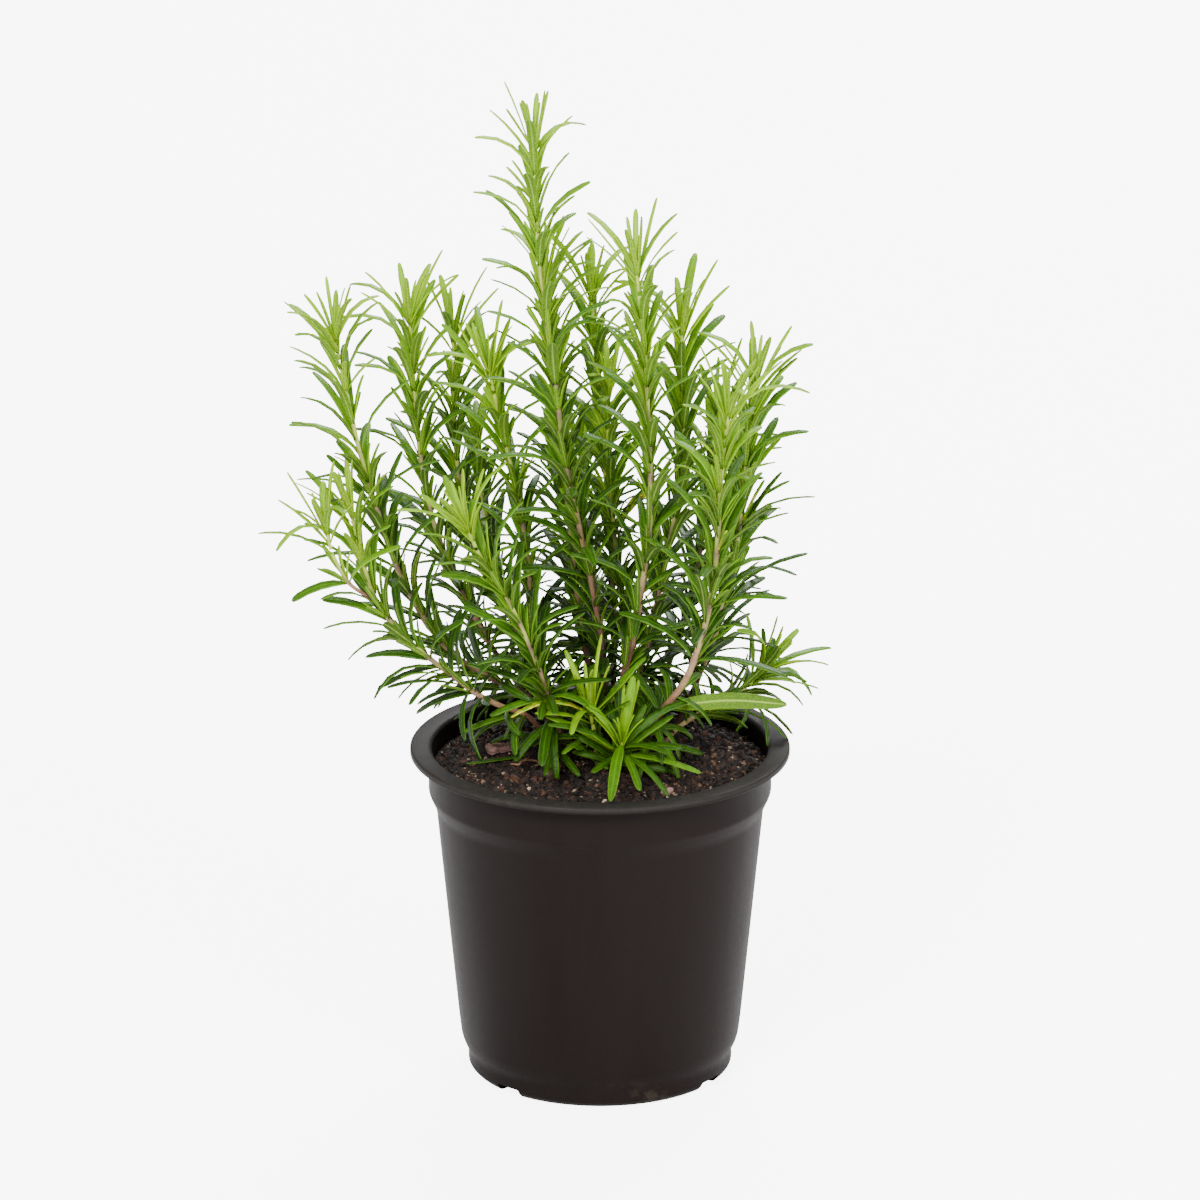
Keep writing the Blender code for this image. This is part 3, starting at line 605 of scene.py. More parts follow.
growth = {
    "oldWidth": 1.20,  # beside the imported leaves
    "youngWidth": 0.95,
    "youngFrom": 0.7,
    "tipAge": 0.16,  # added on the soft tips
    "tipThickness": 0.8,
    "ripeness": (0.0, 0.86, 1.0),  # at the foot of a stem, where its soft tip starts and at the end
    "age": {"start": 0.06, "onShoot": 0.66, "curve": 1.8, "onPlant": 0.24, "spread": 0.12},
    "twist": 0.5,
    "addedTwist": 0.4,
    "thin": 0.8 * mm,
    "spiral": 137.5,  # degrees from each leaf of a bunch to the next
    "hullWidths": (0.30, 0.50, 0.05),  # near the foot, at the waist and at the point, by the leaf's width
    "hullThickness": 0.45,
    "treeFaces": 300,
    "between": {
        "turns": (55, 145, 235, 325),  # degrees round the stem from a leaf of the pair below
        "sway": 18,  # how far such a turn strays
        "skipped": 0.42,
        "height": (0.35, 0.65),
        "out": 0.4,  # millimetres from the middle of the stem to the foot
        "freeRoot": 2.5 * mm,  # this first stretch isn't tested for room
        "angles": (24, 32, 42, 54),  # from the stem, tried until there is room
        "tilt": 6,  # how far such an angle strays
        "curl": (8, 42),  # further out, in degrees, from the waist on
        "length": (25.0 * mm, 34.0 * mm),
        "width": 3.3 * mm,
        "widths": (0.85, 1.12),
    },
    "low": {
        "count": 16,
        "heights": (6.0 * mm, 34.0 * mm),  # above the compost
        "out": 0.5,
        "freeRoot": 2.5 * mm,
        "angles": (84, 66, 104, 50),
        "tilt": 8,
        "curl": (5, 40),
        "length": (17, 27),  # in millimetres
        "widths": (0.85, 1.1),
        "age": (0.02, 0.42),
        "lowest": 1.0 * mm,  # for its point, above the compost
    },
    "axil": {
        "turns": (-70, 70, -30, 30),  # degrees round the stem from the big leaf
        "sway": 14,
        "skipped": 0.50,
        "raised": (0.6, 1.8),  # above the big leaf's foot and
        "aside": 0.8,  # aside from it, in millimetres
        "freeRoot": 4.0 * mm,
        "angles": (18, 26, 36, 48),
        "tilt": 6,
        "curl": (0, 16),
        "length": (9.0 * mm, 21.0 * mm),
        "width": 2.0 * mm,
        "widths": (0.85, 1.2),
        "younger": (0.12, 0.34),  # than the big leaf
    },
    "tip": {
        "count": 7,
        "sway": 20,
        "depth": 5,  # from the end of the shoot down to the outermost leaf, in millimetres
        "out": 0.4,
        "freeRoot": 5.0 * mm,
        "angles": (20, 6, 26, 36),  # of the outermost and the innermost leaf, then two more tries
        "curl": (-4, 10),
        "length": (30.0 * mm, 15.0 * mm),  # of the outermost and the innermost leaf
        "lengths": (0.85, 1.1),
        "width": (0.92, 0.57),  # by that of a leaf in a joint
        "younger": 0.1,
    },
    "rosette": {
        "sway": 15,
        "depth": (7, 2),  # of the first and the last leaf, in millimetres
        "out": 0.5,
        "freeRoot": 4.0 * mm,
        "angles": (0.8, 1.15, 0.6),  # by the spread, after the leaf's own one
        "steeper": 0.45,
        "curl": (-12, 44),
        "lengths": (0.62, 1.08),
        "width": 3.2 * mm,
        "widths": (0.8, 1.12),
        "older": (0.25, 0.65),
    },
    "rosettes": {  # leaves, spread in degrees, length
        "front": (18, 74, 31 * mm),
        "front_left": (11, 62, 27 * mm),
        "low_right": (8, 46, 24 * mm),
    },
}


def spindle(leaf, start):
    # a four-sided hull round a leaf from some way up it
    first = (leaf["waist"] - leaf["foot"]).normalized()
    side = leaf["across"]
    up = side.cross(first).normalized()
    corners = []
    for centre, wide in zip((leaf["foot"] + first * start, leaf["waist"], leaf["tip"]), growth["hullWidths"]):
        aside = side * (leaf["width"] * wide)
        above = up * (leaf["thick"] * min(wide, growth["hullThickness"]))
        corners += [centre + aside + above, centre - aside + above]
        corners += [centre - aside - above, centre + aside - above]
    faces = [(0, 1, 2, 3), (8, 9, 10, 11)]
    for ring in (0, 4):
        faces += [(ring + k, ring + (k + 1) % 4, ring + 4 + (k + 1) % 4, ring + 4 + k) for k in range(4)]
    return corners, faces


class Room:
    # what is already there, so that an added leaf doesn't run through it

    def __init__(self):
        every = bmesh.new()
        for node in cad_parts.values():
            every.from_mesh(node.data)
        self.trees = [BVHTree.FromBMesh(every)]
        every.free()
        self.corners, self.faces = [], []

    def takes(self, leaf, start):
        corners, faces = spindle(leaf, start)
        hull = BVHTree.FromPolygons(corners, faces)
        if any(tree.overlap(hull) for tree in self.trees):
            return False
        if self.faces and BVHTree.FromPolygons(self.corners, self.faces).overlap(hull):
            return False
        base = len(self.corners)
        self.corners += corners
        self.faces += [tuple(base + corner for corner in face) for face in faces]
        if len(self.faces) > growth["treeFaces"]:
            self.trees.append(BVHTree.FromPolygons(self.corners, self.faces))
            self.corners, self.faces = [], []
        return True


def newLeaf(foot, along, outward, angle, curl, length, width, thick, age, rng):
    # a leaf that leaves its stem at an angle and has curled further out by its point
    tilt, share = math.radians(angle), leafShape["waist"]
    first = (along * math.cos(tilt) + outward * math.sin(tilt)).normalized()
    tilt += math.radians(curl)
    second = (along * math.cos(tilt) + outward * math.sin(tilt)).normalized()
    waist = foot + first * length * share
    return {
        "foot": foot, "waist": waist, "tip": waist + second * length * (1 - share), "along": along,
        "across": along.cross(outward).normalized(), "width": width, "thick": thick, "age": age,
        "chance": rng.random(), "twist": sway(growth["addedTwist"], rng),
    }


def firstWithRoom(kind, tries, room):
    # the first of these leaves that runs into nothing, in a list that may stay empty
    for leaf in tries:
        if room.takes(leaf, kind["freeRoot"]):
            return [leaf]
    return []


def turned(outward, degrees, along):
    return Matrix.Rotation(math.radians(degrees), 3, along) @ outward


def awayFrom(leaf, along):
    # the way that a leaf leaves its stem, square to the stem
    out = leaf["waist"] - leaf["foot"]
    return (out - along * out.dot(along)).normalized()


def leafAge(foot, heights, rng):
    # the leaves grow younger up the plant and up their own shoot
    bottom, highest, top = heights
    risen, years = max(0.0, foot.z - bottom), growth["age"]
    age = years["start"] + years["onShoot"] * (risen / (highest - bottom)) ** years["curve"]
    age += years["onPlant"] * risen / (top - bottom) + sway(years["spread"], rng)
    return max(0.0, min(1.0, age))


def betweenLeaves(knots, leaves, heights, rng, room):
    # full leaves halfway between the joints, turned away from the pairs above and below
    kind, added = growth["between"], []
    leafy = [centre for centre, _, has in knots if has]
    for below, above in zip(leafy, leafy[1:]):
        along = (above - below).normalized()
        out = awayFrom(min(leaves, key=lambda leaf: (leaf["foot"] - below).length), along)
        for turn in kind["turns"]:
            if rng.random() < kind["skipped"]:
                continue
            spun = turned(out, turn + sway(kind["sway"], rng), along)
            foot = below.lerp(above, rng.uniform(*kind["height"])) + spun * kind["out"] * mm
            length = rng.uniform(*kind["length"])
            added += firstWithRoom(kind, (
                newLeaf(
                    foot, along, spun, angle + sway(kind["tilt"], rng), rng.uniform(*kind["curl"]), length,
                    kind["width"] * rng.uniform(*kind["widths"]), leafShape["thickness"],
                    leafAge(foot, heights, rng), rng,
                ) for angle in kind["angles"]
            ), room)
    return added


def lowLeaves(knots, bottom, rng, room):
    # dark old leaves that droop over the compost from the lowest part of a stem
    kind, added = growth["low"], []
    path = smoothPath(knots, stemShape["lowSteps"])
    for _ in range(kind["count"]):
        height = bottom + rng.uniform(*kind["heights"])
        place = min(range(1, len(path) - 1), key=lambda k: abs(path[k][0].z - height))
        along = (path[place + 1][0] - path[place - 1][0]).normalized()
        spun = Matrix.Rotation(rng.uniform(0, math.tau), 3, along) @ along.orthogonal().normalized()
        foot = path[place][0] + spun * kind["out"] * mm
        length = rng.uniform(*kind["length"]) * mm
        tries = (
            newLeaf(
                foot, along, spun, angle + sway(kind["tilt"], rng), rng.uniform(*kind["curl"]), length,
                growth["between"]["width"] * rng.uniform(*kind["widths"]), leafShape["thickness"],
                rng.uniform(*kind["age"]), rng,
            ) for angle in kind["angles"]
        )
        above = (leaf for leaf in tries if leaf["tip"].z > bottom + kind["lowest"])
        added += firstWithRoom(kind, above, room)
    return added


def axilLeaves(leaf, rng, room):
    # small bright leaves from the joint between a leaf and its stem
    kind, along, added = growth["axil"], leaf["along"], []
    out = awayFrom(leaf, along)
    for turn in kind["turns"]:
        if rng.random() < kind["skipped"]:
            continue
        spun = turned(out, turn + sway(kind["sway"], rng), along)
        foot = leaf["foot"] + along * rng.uniform(*kind["raised"]) * mm + (spun - out) * kind["aside"] * mm
        added += firstWithRoom(kind, (
            newLeaf(
                foot, along, spun, angle + sway(kind["tilt"], rng), rng.uniform(*kind["curl"]),
                rng.uniform(*kind["length"]), kind["width"] * rng.uniform(*kind["widths"]), growth["thin"],
                min(1.0, leaf["age"] + rng.uniform(*kind["younger"])), rng,
            ) for angle in kind["angles"]
        ), room)
    return added


def tipLeaves(end, along, age, rng, room):
    # the tight bunch of young leaves at the very end of a shoot
    kind, added = growth["tip"], []
    start = along.orthogonal().normalized()
    (outer, inner), (wide, narrow) = kind["length"], kind["width"]
    flattest, steepest, *others = kind["angles"]
    for place in range(kind["count"]):
        share = place / (kind["count"] - 1)
        spun = turned(start, place * growth["spiral"] + sway(kind["sway"], rng), along)
        foot = end - along * (1 - share) * kind["depth"] * mm + spun * kind["out"] * mm
        added += firstWithRoom(kind, (
            newLeaf(
                foot, along, spun, angle, rng.uniform(*kind["curl"]),
                (outer + (inner - outer) * share) * rng.uniform(*kind["lengths"]),
                growth["axil"]["width"] * (wide + (narrow - wide) * share), growth["thin"],
                min(1.0, age + kind["younger"]), rng,
            ) for angle in (flattest + (steepest - flattest) * share, *others)
        ), room)
    return added


def rosetteLeaves(end, along, age, count, spread, length, rng, room):
    # more full leaves round the end of a short shoot, each a little steeper than the last
    kind, added = growth["rosette"], []
    start = along.orthogonal().normalized()
    lowest, highest = kind["depth"]
    for place in range(count):
        share = place / count
        spun = turned(start, place * growth["spiral"] + sway(kind["sway"], rng), along)
        down = highest + (lowest - highest) * (1 - share)
        foot = end - along * down * mm + spun * kind["out"] * mm
        added += firstWithRoom(kind, (
            newLeaf(
                foot, along, spun, spread * part, rng.uniform(*kind["curl"]),
                length * rng.uniform(*kind["lengths"]), kind["width"] * rng.uniform(*kind["widths"]),
                leafShape["thickness"], max(0.0, age - rng.uniform(*kind["older"])), rng,
            ) for part in (1 - kind["steeper"] * share, *kind["angles"])
        ), room)
    return added


# Stems and threads

stemShape = {
    "sides": 8,
    "steps": 5,
    "lowSteps": 6,
    "roundness": 0.95,
    "swell": 0.17,
    "swellReach": 1.6 * mm,
    "blushReach": 3.0 * mm,
}


def smoothPath(knots, steps):
    # points and radii along one smooth curve through the knots
    centres = [Vector(centre) for centre, _, _ in knots]
    ends = [2 * centres[0] - centres[1]] + centres + [2 * centres[-1] - centres[-2]]
    found = []
    for place in range(len(centres) - 1):
        a, b, c, d = ends[place:place + 4]
        for step in range(steps):
            t = step / steps
            spot = 2 * b + (c - a) * t + (2 * a - 5 * b + 4 * c - d) * t * t
            spot = 0.5 * (spot + (3 * b - a - 3 * c + d) * t**3)
            radius = knots[place][1] * (1 - t) + knots[place + 1][1] * t
            found.append((spot, radius))
    found.append((centres[-1], knots[-1][1]))
    return found


def drawTube(mesh, path, sides, layers=None, values=None):
    # a ring carried along the path of (centre, radius); each ring's layer values come with it
    made = bmesh.ops.create_circle(mesh, cap_ends=True, segments=sides, radius=1)["verts"]
    end, side = made[0].link_faces[0], None
    first = list(end.verts)
    for place, (centre, radius) in enumerate(path):
        if place:
            end = bmesh.ops.extrude_discrete_faces(mesh, faces=[end])["faces"][0]
        forward = (path[min(place + 1, len(path) - 1)][0] - path[max(place - 1, 0)][0]).normalized()
        side = side or forward.orthogonal()
        side = (side - forward * side.dot(forward)).normalized()
        up = forward.cross(side)
        for corner, vert in enumerate(end.verts):
            turn = math.tau * corner / sides
            vert.co = centre + (side * math.cos(turn) + up * math.sin(turn)) * radius
            for key in layers or {}:
                vert[layers[key]] = values[place].get(key, 0.0)
    start = mesh.faces.new(first[::-1])
    start.smooth = False


def stemPath(knots, ripeness):
    # the smooth, swollen stem, and how ripe and how near a joint it is at each ring
    plain = smoothPath(knots, stemShape["steps"])
    joints = [centre for centre, _, leafy in knots if leafy]
    walked = np.cumsum([0.0] + [(b[0] - a[0]).length for a, b in zip(plain, plain[1:])])
    path, values = [], []
    for (centre, radius), way in zip(plain, walked / walked[-1]):
        near = min([(centre - joint).length for joint in joints] or [1.0])
        swollen = 1 + stemShape["swell"] * math.exp(-((near / stemShape["swellReach"]) ** 2))
        path.append((centre, radius * stemShape["roundness"] * swollen))
        values.append({
            "ripe": ripeness[0] + (ripeness[1] - ripeness[0]) * way,
            "joint": math.exp(-((near / stemShape["blushReach"]) ** 2)),
        })
    return path, values


def growShoot(name, knots, leaves, ripeness, template):
    shoot = bmesh.new()
    layers = {key: shoot.verts.layers.float.new(key) for key in layerNames}
    path, values = stemPath(knots, ripeness)
    drawTube(shoot, path, stemShape["sides"], layers, values)
    for face in shoot.faces:
        face.smooth = len(face.verts) == 4
    bmesh.ops.recalc_face_normals(shoot, faces=shoot.faces)
    before = len(shoot.verts)
    for _ in leaves:
        shoot.from_mesh(template)
    piece = toObject(name, shoot)
    if not leaves:
        return piece
    corners = piece.data.vertices
    places = np.empty(len(corners) * 3, np.float32)
    corners.foreach_get("co", places)
    places.reshape(-1, 3)[before:] = bendLeaves(leaves, template).reshape(-1, 3)
    corners.foreach_set("co", places)
    for key in ("age", "chance"):
        column = np.zeros(len(corners), np.float32)
        column[before:] = np.repeat([leaf[key] for leaf in leaves], len(template.vertices))
        piece.data.attributes[key].data.foreach_set("value", column)
    return piece


def finishLeaf(leaf, heights, rng):
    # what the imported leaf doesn't say: its age and its own width, length and twist
    leaf["age"] = leafAge(leaf["foot"], heights, rng)
    leaf["thick"] = leafShape["thickness"]
    leaf["width"] *= growth["oldWidth"] if leaf["age"] < growth["youngFrom"] else growth["youngWidth"]
    leaf["tip"] = leaf["waist"] + (leaf["tip"] - leaf["waist"]) * leafShape["longer"]
    leaf["chance"] = rng.random()
    leaf["twist"] = sway(growth["twist"], rng)


def makePlant():
    # every shoot with its leaves, and its soft tip
    template = makeLeafTemplate("leafTemplate", leafShape)
    skins = makeStemMaterial(), makeLeafMaterial()
    room = Room()
    top = max(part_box(name + "_tip")[1][2] for name in shootNames)
    bottom = soilBox[1][2]
    foot, soft, ripe = growth["ripeness"]
    count = 0
    for name in shootNames:
        rng = random.Random(name)
        stemKnots, leaves = readShoot(name)
        tipKnots, young = readShoot(name + "_tip")
        heights = bottom, tipKnots[-1][0].z, top
        for leaf in leaves + young:
            finishLeaf(leaf, heights, rng)
        for leaf in young:
            leaf["age"] = min(1.0, leaf["age"] + growth["tipAge"])
            leaf["thick"] *= growth["tipThickness"]
        extra = betweenLeaves(stemKnots + tipKnots[1:], leaves + young, heights, rng, room)
        if stemKnots[0][0].z < bottom:
            extra += lowLeaves(stemKnots, bottom, rng, room)
        extra += [small for leaf in leaves for small in axilLeaves(leaf, rng, room)]
        end, before = tipKnots[-1][0], tipKnots[-2][0]
        age = max(leaf["age"] for leaf in young)
        along = (end - before).normalized()
        buds = tipLeaves(end, along, age, rng, room)
        if name in growth["rosettes"]:
            buds += rosetteLeaves(end, along, age, *growth["rosettes"][name], rng, room)
        for key, knots, grown, ripeness, slotName in (
            (name, stemKnots, leaves + extra, (foot, soft), "foliage"),
            (name + "_tip", tipKnots, young + buds, (soft, ripe), "young_growth"),
        ):
            shoot = growShoot(key + "_shoot", knots, grown, ripeness, template)
            settle(shoot, skins, slotName, key)
            count += len(grown)
    report(f"plant grown, {count} leaves")


# Pot

pot = {
    "sides": 144,
    "corners": [  # radius, height and rounding in millimetres
        (0, 0, 0), (15, 0, 0.8), (16.3, 3, 0.8), (41.3, 3, 0.8), (42.6, 0, 0.8),  # from the middle underneath
        (46.6, 0, 0.9), (48.8, 2.2, 0.9), (48.8, 7.2, 1.4), (51.2, 12.1, 2.2),  # foot
        (52.1, 19, 2.5), (60.4, 102, 1.6),  # wall
        (63.2, 108, 0.9), (63.2, 122.4, 0.5), (70, 122.4, 0.55), (70, 125, 0.95),  # collar and lip
        (61.9, 125, 1.5), (61.9, 108.6, 0.8), (59.1, 102.5, 1.2), (50.8, 19.5, 2),  # down the inside
        (49.9, 12.6, 1.6), (47.5, 7.7, 1), (47.5, 3.6, 0.8), (46.1, 1.3, 0.6),
        (42.6, 1.3, 0.6), (41.3, 4.3, 0.8), (16.3, 4.3, 0.8), (15, 1.3, 0.8), (0, 1.3, 0),  # floor
    ],
    "notches": (-134.5, -33.0, 45.5, 147.0),
    "notchAngle": 13.0,
    "notchHeight": 3.2 * mm,
    "notchDepth": 11.0 * mm,
    "notchPlace": 46.0 * mm,
    "notchRounding": 0.9 * mm,
    "footRadius": 48.8 * mm,
    "creases": 38.0,  # degrees
    "colour": (0.0088, 0.0058, 0.0053),
    "bloom": (0.0125, 0.0088, 0.0078),
    # the lighter grey of the rim top: painted highlight
    "rim": (0.0270, 0.0245, 0.0230),
    "dust": (0.0800, 0.0600, 0.0450),
    "bloomStretch": (1.0, 1.0, 0.16),
    "bloomGrain": (34.0, 150.0, 0.35),
    "bloomShare": 0.42,
    "scuffs": (420.0, 3200.0, 0.6),
    "rimHighlightShares": (0.6, 1.0),  # of the painted highlight on the rim top, made patchy by the scuff noise
    "lip": (122.8 * mm, 124.0 * mm),  # where the painted highlight on the rim top starts and is full
    "specks": (60.0, 6.0, 0.7),  # scale, detail and roughness
    "speckShare": (0.60, 0.68, 0.0, 0.32),
    "dustLow": (0.0, 12.0 * mm, 1.0, 0.0),
    "dustHigh": (119.0 * mm, 125.0 * mm, 0.0, 0.5),
    "roughness": (0.36, 0.44),
    "scuffRoughness": 0.06,
    "turning": (0.02, 0.02, 1.0),  # squeezes noise into fine rings round the wall
    "turningNoise": (1400.0, 2.0),
    "turningShare": 0.3,
    "relief": (0.06 * mm, 0.35),
    "gloss": 0.06,
}


def rounded(corners):
    # the profile as a wire with its corners rounded
    outline = bmesh.new()
    verts = [outline.verts.new((radius * mm, 0, height * mm)) for radius, height, _ in corners]
    for pair in zip(verts, verts[1:]):
        outline.edges.new(pair)
    for vert, (_, _, rounding) in zip(verts, corners):
        if rounding:
            bmesh.ops.bevel(
                outline, geom=[vert], offset=rounding * mm, offset_type="OFFSET", affect="VERTICES",
                segments=4, profile=0.5, material=-1,
            )
    return outline


def makePotMaterial():
    material, tree, shader = blank("nurseryPlastic")
    place = objectPlace(tree)
    height = put(tree, "ShaderNodeSeparateXYZ", Vector=place).outputs["Z"]
    streaks, _ = grain(tree, squeezed(tree, place, pot["bloomStretch"]), *pot["bloomGrain"])
    scuffs, fine = grain(tree, place, *pot["scuffs"])
    colour = blend(tree, sums(tree, "MULTIPLY", streaks, pot["bloomShare"]), pot["colour"], pot["bloom"])
    # painted highlight: the rim top is lightened toward a grey, patchy by the scuff noise
    highlightPatches = fit(tree, scuffs, 0.0, 1.0, *pot["rimHighlightShares"])
    lip = sums(tree, "MULTIPLY", fit(tree, height, *pot["lip"]), highlightPatches)
    colour = blend(tree, lip, colour, pot["rim"])
    scale, detail, rough = pot["specks"]
    specks = put(tree, "ShaderNodeTexNoise", Vector=place, Scale=scale, Detail=detail, Roughness=rough)
    dusty = sums(tree, "MAXIMUM", fit(tree, height, *pot["dustLow"]), fit(tree, height, *pot["dustHigh"]))
    dusty = sums(tree, "MULTIPLY", fit(tree, specks.outputs["Fac"], *pot["speckShare"]), dusty)
    colour = blend(tree, dusty, colour, pot["dust"])
    rough = fit(tree, streaks, 0.0, 1.0, *pot["roughness"])
    rough = sums(tree, "ADD", rough, sums(tree, "MULTIPLY", scuffs, pot["scuffRoughness"]))
    scale, detail = pot["turningNoise"]
    rings = squeezed(tree, place, pot["turning"])
    rings = put(tree, "ShaderNodeTexNoise", Vector=rings, Scale=scale, Detail=detail).outputs["Fac"]
    rings = sums(tree, "MULTIPLY", rings, pot["turningShare"])
    relief = sums(tree, "ADD", sums(tree, "MULTIPLY", fine, 1 - pot["turningShare"]), rings)
    finish(tree, shader, colour, rough, relief, *pot["relief"])
    shader.inputs["Specular IOR Level"].default_value = pot["gloss"]
    return material


def makeNotches():
    # one rounded block for each drainage notch
    blocks = bmesh.new()
    wide = 2 * pot["footRadius"] * math.sin(math.radians(pot["notchAngle"] / 2))
    for _ in pot["notches"]:
        block = bmesh.ops.create_cube(blocks, size=1)["verts"]
        bmesh.ops.scale(blocks, vec=(pot["notchDepth"], wide, 2 * pot["notchHeight"]), verts=block)
        edges = list(dict.fromkeys(edge for vert in block for edge in vert.link_edges))
        bmesh.ops.bevel(
            blocks, geom=edges, offset=pot["notchRounding"], affect="EDGES", segments=3, profile=0.5,
            material=-1,
        )
    blocks.verts.ensure_lookup_table()
    corners = len(blocks.verts) // len(pot["notches"])
    for place, angle in enumerate(pot["notches"]):
        turn = Matrix.Rotation(math.radians(angle), 4, "Z") @ Matrix.Translation((pot["notchPlace"], 0, 0))
        bmesh.ops.transform(blocks, matrix=turn, verts=blocks.verts[place * corners:(place + 1) * corners])
    return toObject("notchCutter", blocks)


def lathe(mesh, steps):
    # the profile in this mesh turned round the upright axis
    bmesh.ops.spin(
        mesh, geom=mesh.verts[:] + mesh.edges[:], axis=(0, 0, 1), cent=(0, 0, 0), steps=steps, angle=math.tau,
        use_merge=True,
    )
    bmesh.ops.remove_doubles(mesh, verts=mesh.verts, dist=1e-6)


def makePot():
    wall = rounded(pot["corners"])
    lathe(wall, pot["sides"])
    bmesh.ops.recalc_face_normals(wall, faces=wall.faces)
    body = toObject("nursery_pot", wall)
    knife = makeNotches()
    opening = body.modifiers.new("notches", "BOOLEAN")
    opening.object = knife
    opening.operation = "DIFFERENCE"
    opening.solver = "EXACT"
    finished = bpy.data.meshes.new_from_object(body.evaluated_get(bpy.context.evaluated_depsgraph_get()))
    body.modifiers.clear()
    body.data = finished
    bpy.data.objects.remove(knife)
    body.data.shade_smooth()
    body.data.set_sharp_from_angle(angle=math.radians(pot["creases"]))
    body.data.materials.clear()
    settle(body, [makePotMaterial()], "pot_plastic", "pot")
    report("pot turned")


# Compost

compost = {
    "drop": 8.0 * mm,  # below the rim, at the wall
    "mound": 4.4 * mm,
    "seed": 5,
    "rings": 90,
    "sides": 220,
    "footRadius": 47.0 * mm,
    "shoulder": (0.6 * mm, 6.0 * mm),  # in from the wall, and below its edge
    "heave": 1.2 * mm,
    "pitch": 380.0,
    "crumbs": 5600,
    "crumbSize": (0.40 * mm, 1.8 * mm),
    "fewLarge": 2.2,
    "crumbRoom": 1.6 * mm,  # left at the wall
    "pale": (0.93, 0.6),  # the crumbs from this number on are bright, and this much smaller
    "stretch": ((0.6, 1.5), (0.6, 1.1), (0.5, 1.0)),
    "uneven": (0.68, 1.2),
    "raised": (0.05, 0.5),
    "kept": ("fallen_leaf", "root_fibre", "bark_chip", "bark_chip_small"),  # lie on top of the crumbs
    "threads": 70,
    "threadSteps": 9,
    "threadStep": (0.7, 1.5),
    "threadBend": (0.5, 0.4),  # steady and from step to step
    "threadRise": 0.3 * mm,
    "threadRadius": (0.10, 0.05, 0.4),
    "threadRoom": (6 * mm, 2 * mm),  # left at the wall where one starts and ends
    "tones": (0.86, 0.90, 0.93, 0.955),
    "cells": 620.0,
    "grain": (900.0, 4200.0, 0.5),
    "patchy": 0.10,
    "roughness": (0.50, 0.92),
    "cellHeight": 0.8,
    "relief": (0.7 * mm, 0.9),
    "gloss": 0.40,
    "colours": [  # by each crumb's own number
        (0.00, (0.0045, 0.0030, 0.0025)),
        (0.45, (0.0120, 0.0065, 0.0045)),
        (0.74, (0.0300, 0.0140, 0.0085)),
        (0.90, (0.0750, 0.0300, 0.0160)),
        (0.965, (0.2000, 0.1150, 0.0600)),
        (1.00, (0.5200, 0.4300, 0.3100)),
    ],
}


def soilHeight(x, y):
    share = min(1.0, math.hypot(x, y) / soilBox[1][0])
    level = potBox[1][2] - compost["drop"] + (1 - share * share) * compost["mound"]
    spot = Vector((x, y, 0.3)) * compost["pitch"]
    lumps = noise.fractal(spot, 1.0, 2.1, 4) * compost["heave"]
    return level + lumps * (1 - share**6 * 0.6)


def makeSoilMaterial():
    material, tree, shader = blank("peatCompost")
    place = objectPlace(tree)
    shade = attribute(tree, "shade")
    cells = put(tree, "ShaderNodeTexVoronoi", Vector=place, Scale=compost["cells"])
    split = put(tree, "ShaderNodeSeparateXYZ", Vector=cells.outputs["Color"])
    mask, height = grain(tree, place, *compost["grain"])
    own = fit(tree, shade, 0.0, 0.001)  # the plug has no shade of its own and takes one from the cells
    tone = blend(tree, own, split.outputs["X"], shade)
    colour = ramp(tree, shifted(tree, tone, mask, compost["patchy"], clamp=True), compost["colours"])
    rough = fit(tree, mask, 0.0, 1.0, *compost["roughness"])
    cellRelief = sums(tree, "MULTIPLY", cells.outputs["Distance"], compost["cellHeight"])
    finish(tree, shader, colour, rough, sums(tree, "ADD", height, cellRelief), *compost["relief"])
    shader.inputs["Specular IOR Level"].default_value = compost["gloss"]
    return material


def scatter(count, rng, reach):
    spots = []
    for _ in range(count):
        radius, angle = reach * math.sqrt(rng.random()), rng.uniform(0, math.tau)
        spots.append((radius * math.cos(angle), radius * math.sin(angle)))
    return spots


def makePlug(skin):
    reach, floor, surface = soilBox[1][0], soilBox[0][2], 1.0  # the surface gets its real height below
    inward, down = compost["shoulder"]
    body = bmesh.new()
    body.verts.layers.float.new("shade")
    line = [(0, floor), (compost["footRadius"], floor)]
    line += [(reach - inward, potBox[1][2] - compost["drop"] - down)]
    line += [(reach * (1 - ring / compost["rings"]), surface) for ring in range(compost["rings"] + 1)]
    verts = [body.verts.new((radius, 0, height)) for radius, height in line]
    for pair in zip(verts, verts[1:]):
        body.edges.new(pair)
    lathe(body, compost["sides"])
    for vert in body.verts:
        if vert.co.z > surface / 2:
            vert.co.z = soilHeight(vert.co.x, vert.co.y)
    bmesh.ops.recalc_face_normals(body, faces=body.faces)
    for face in body.faces:
        face.smooth = True
    settle(toObject("compost_plug", body), [skin], "compost", "soil")


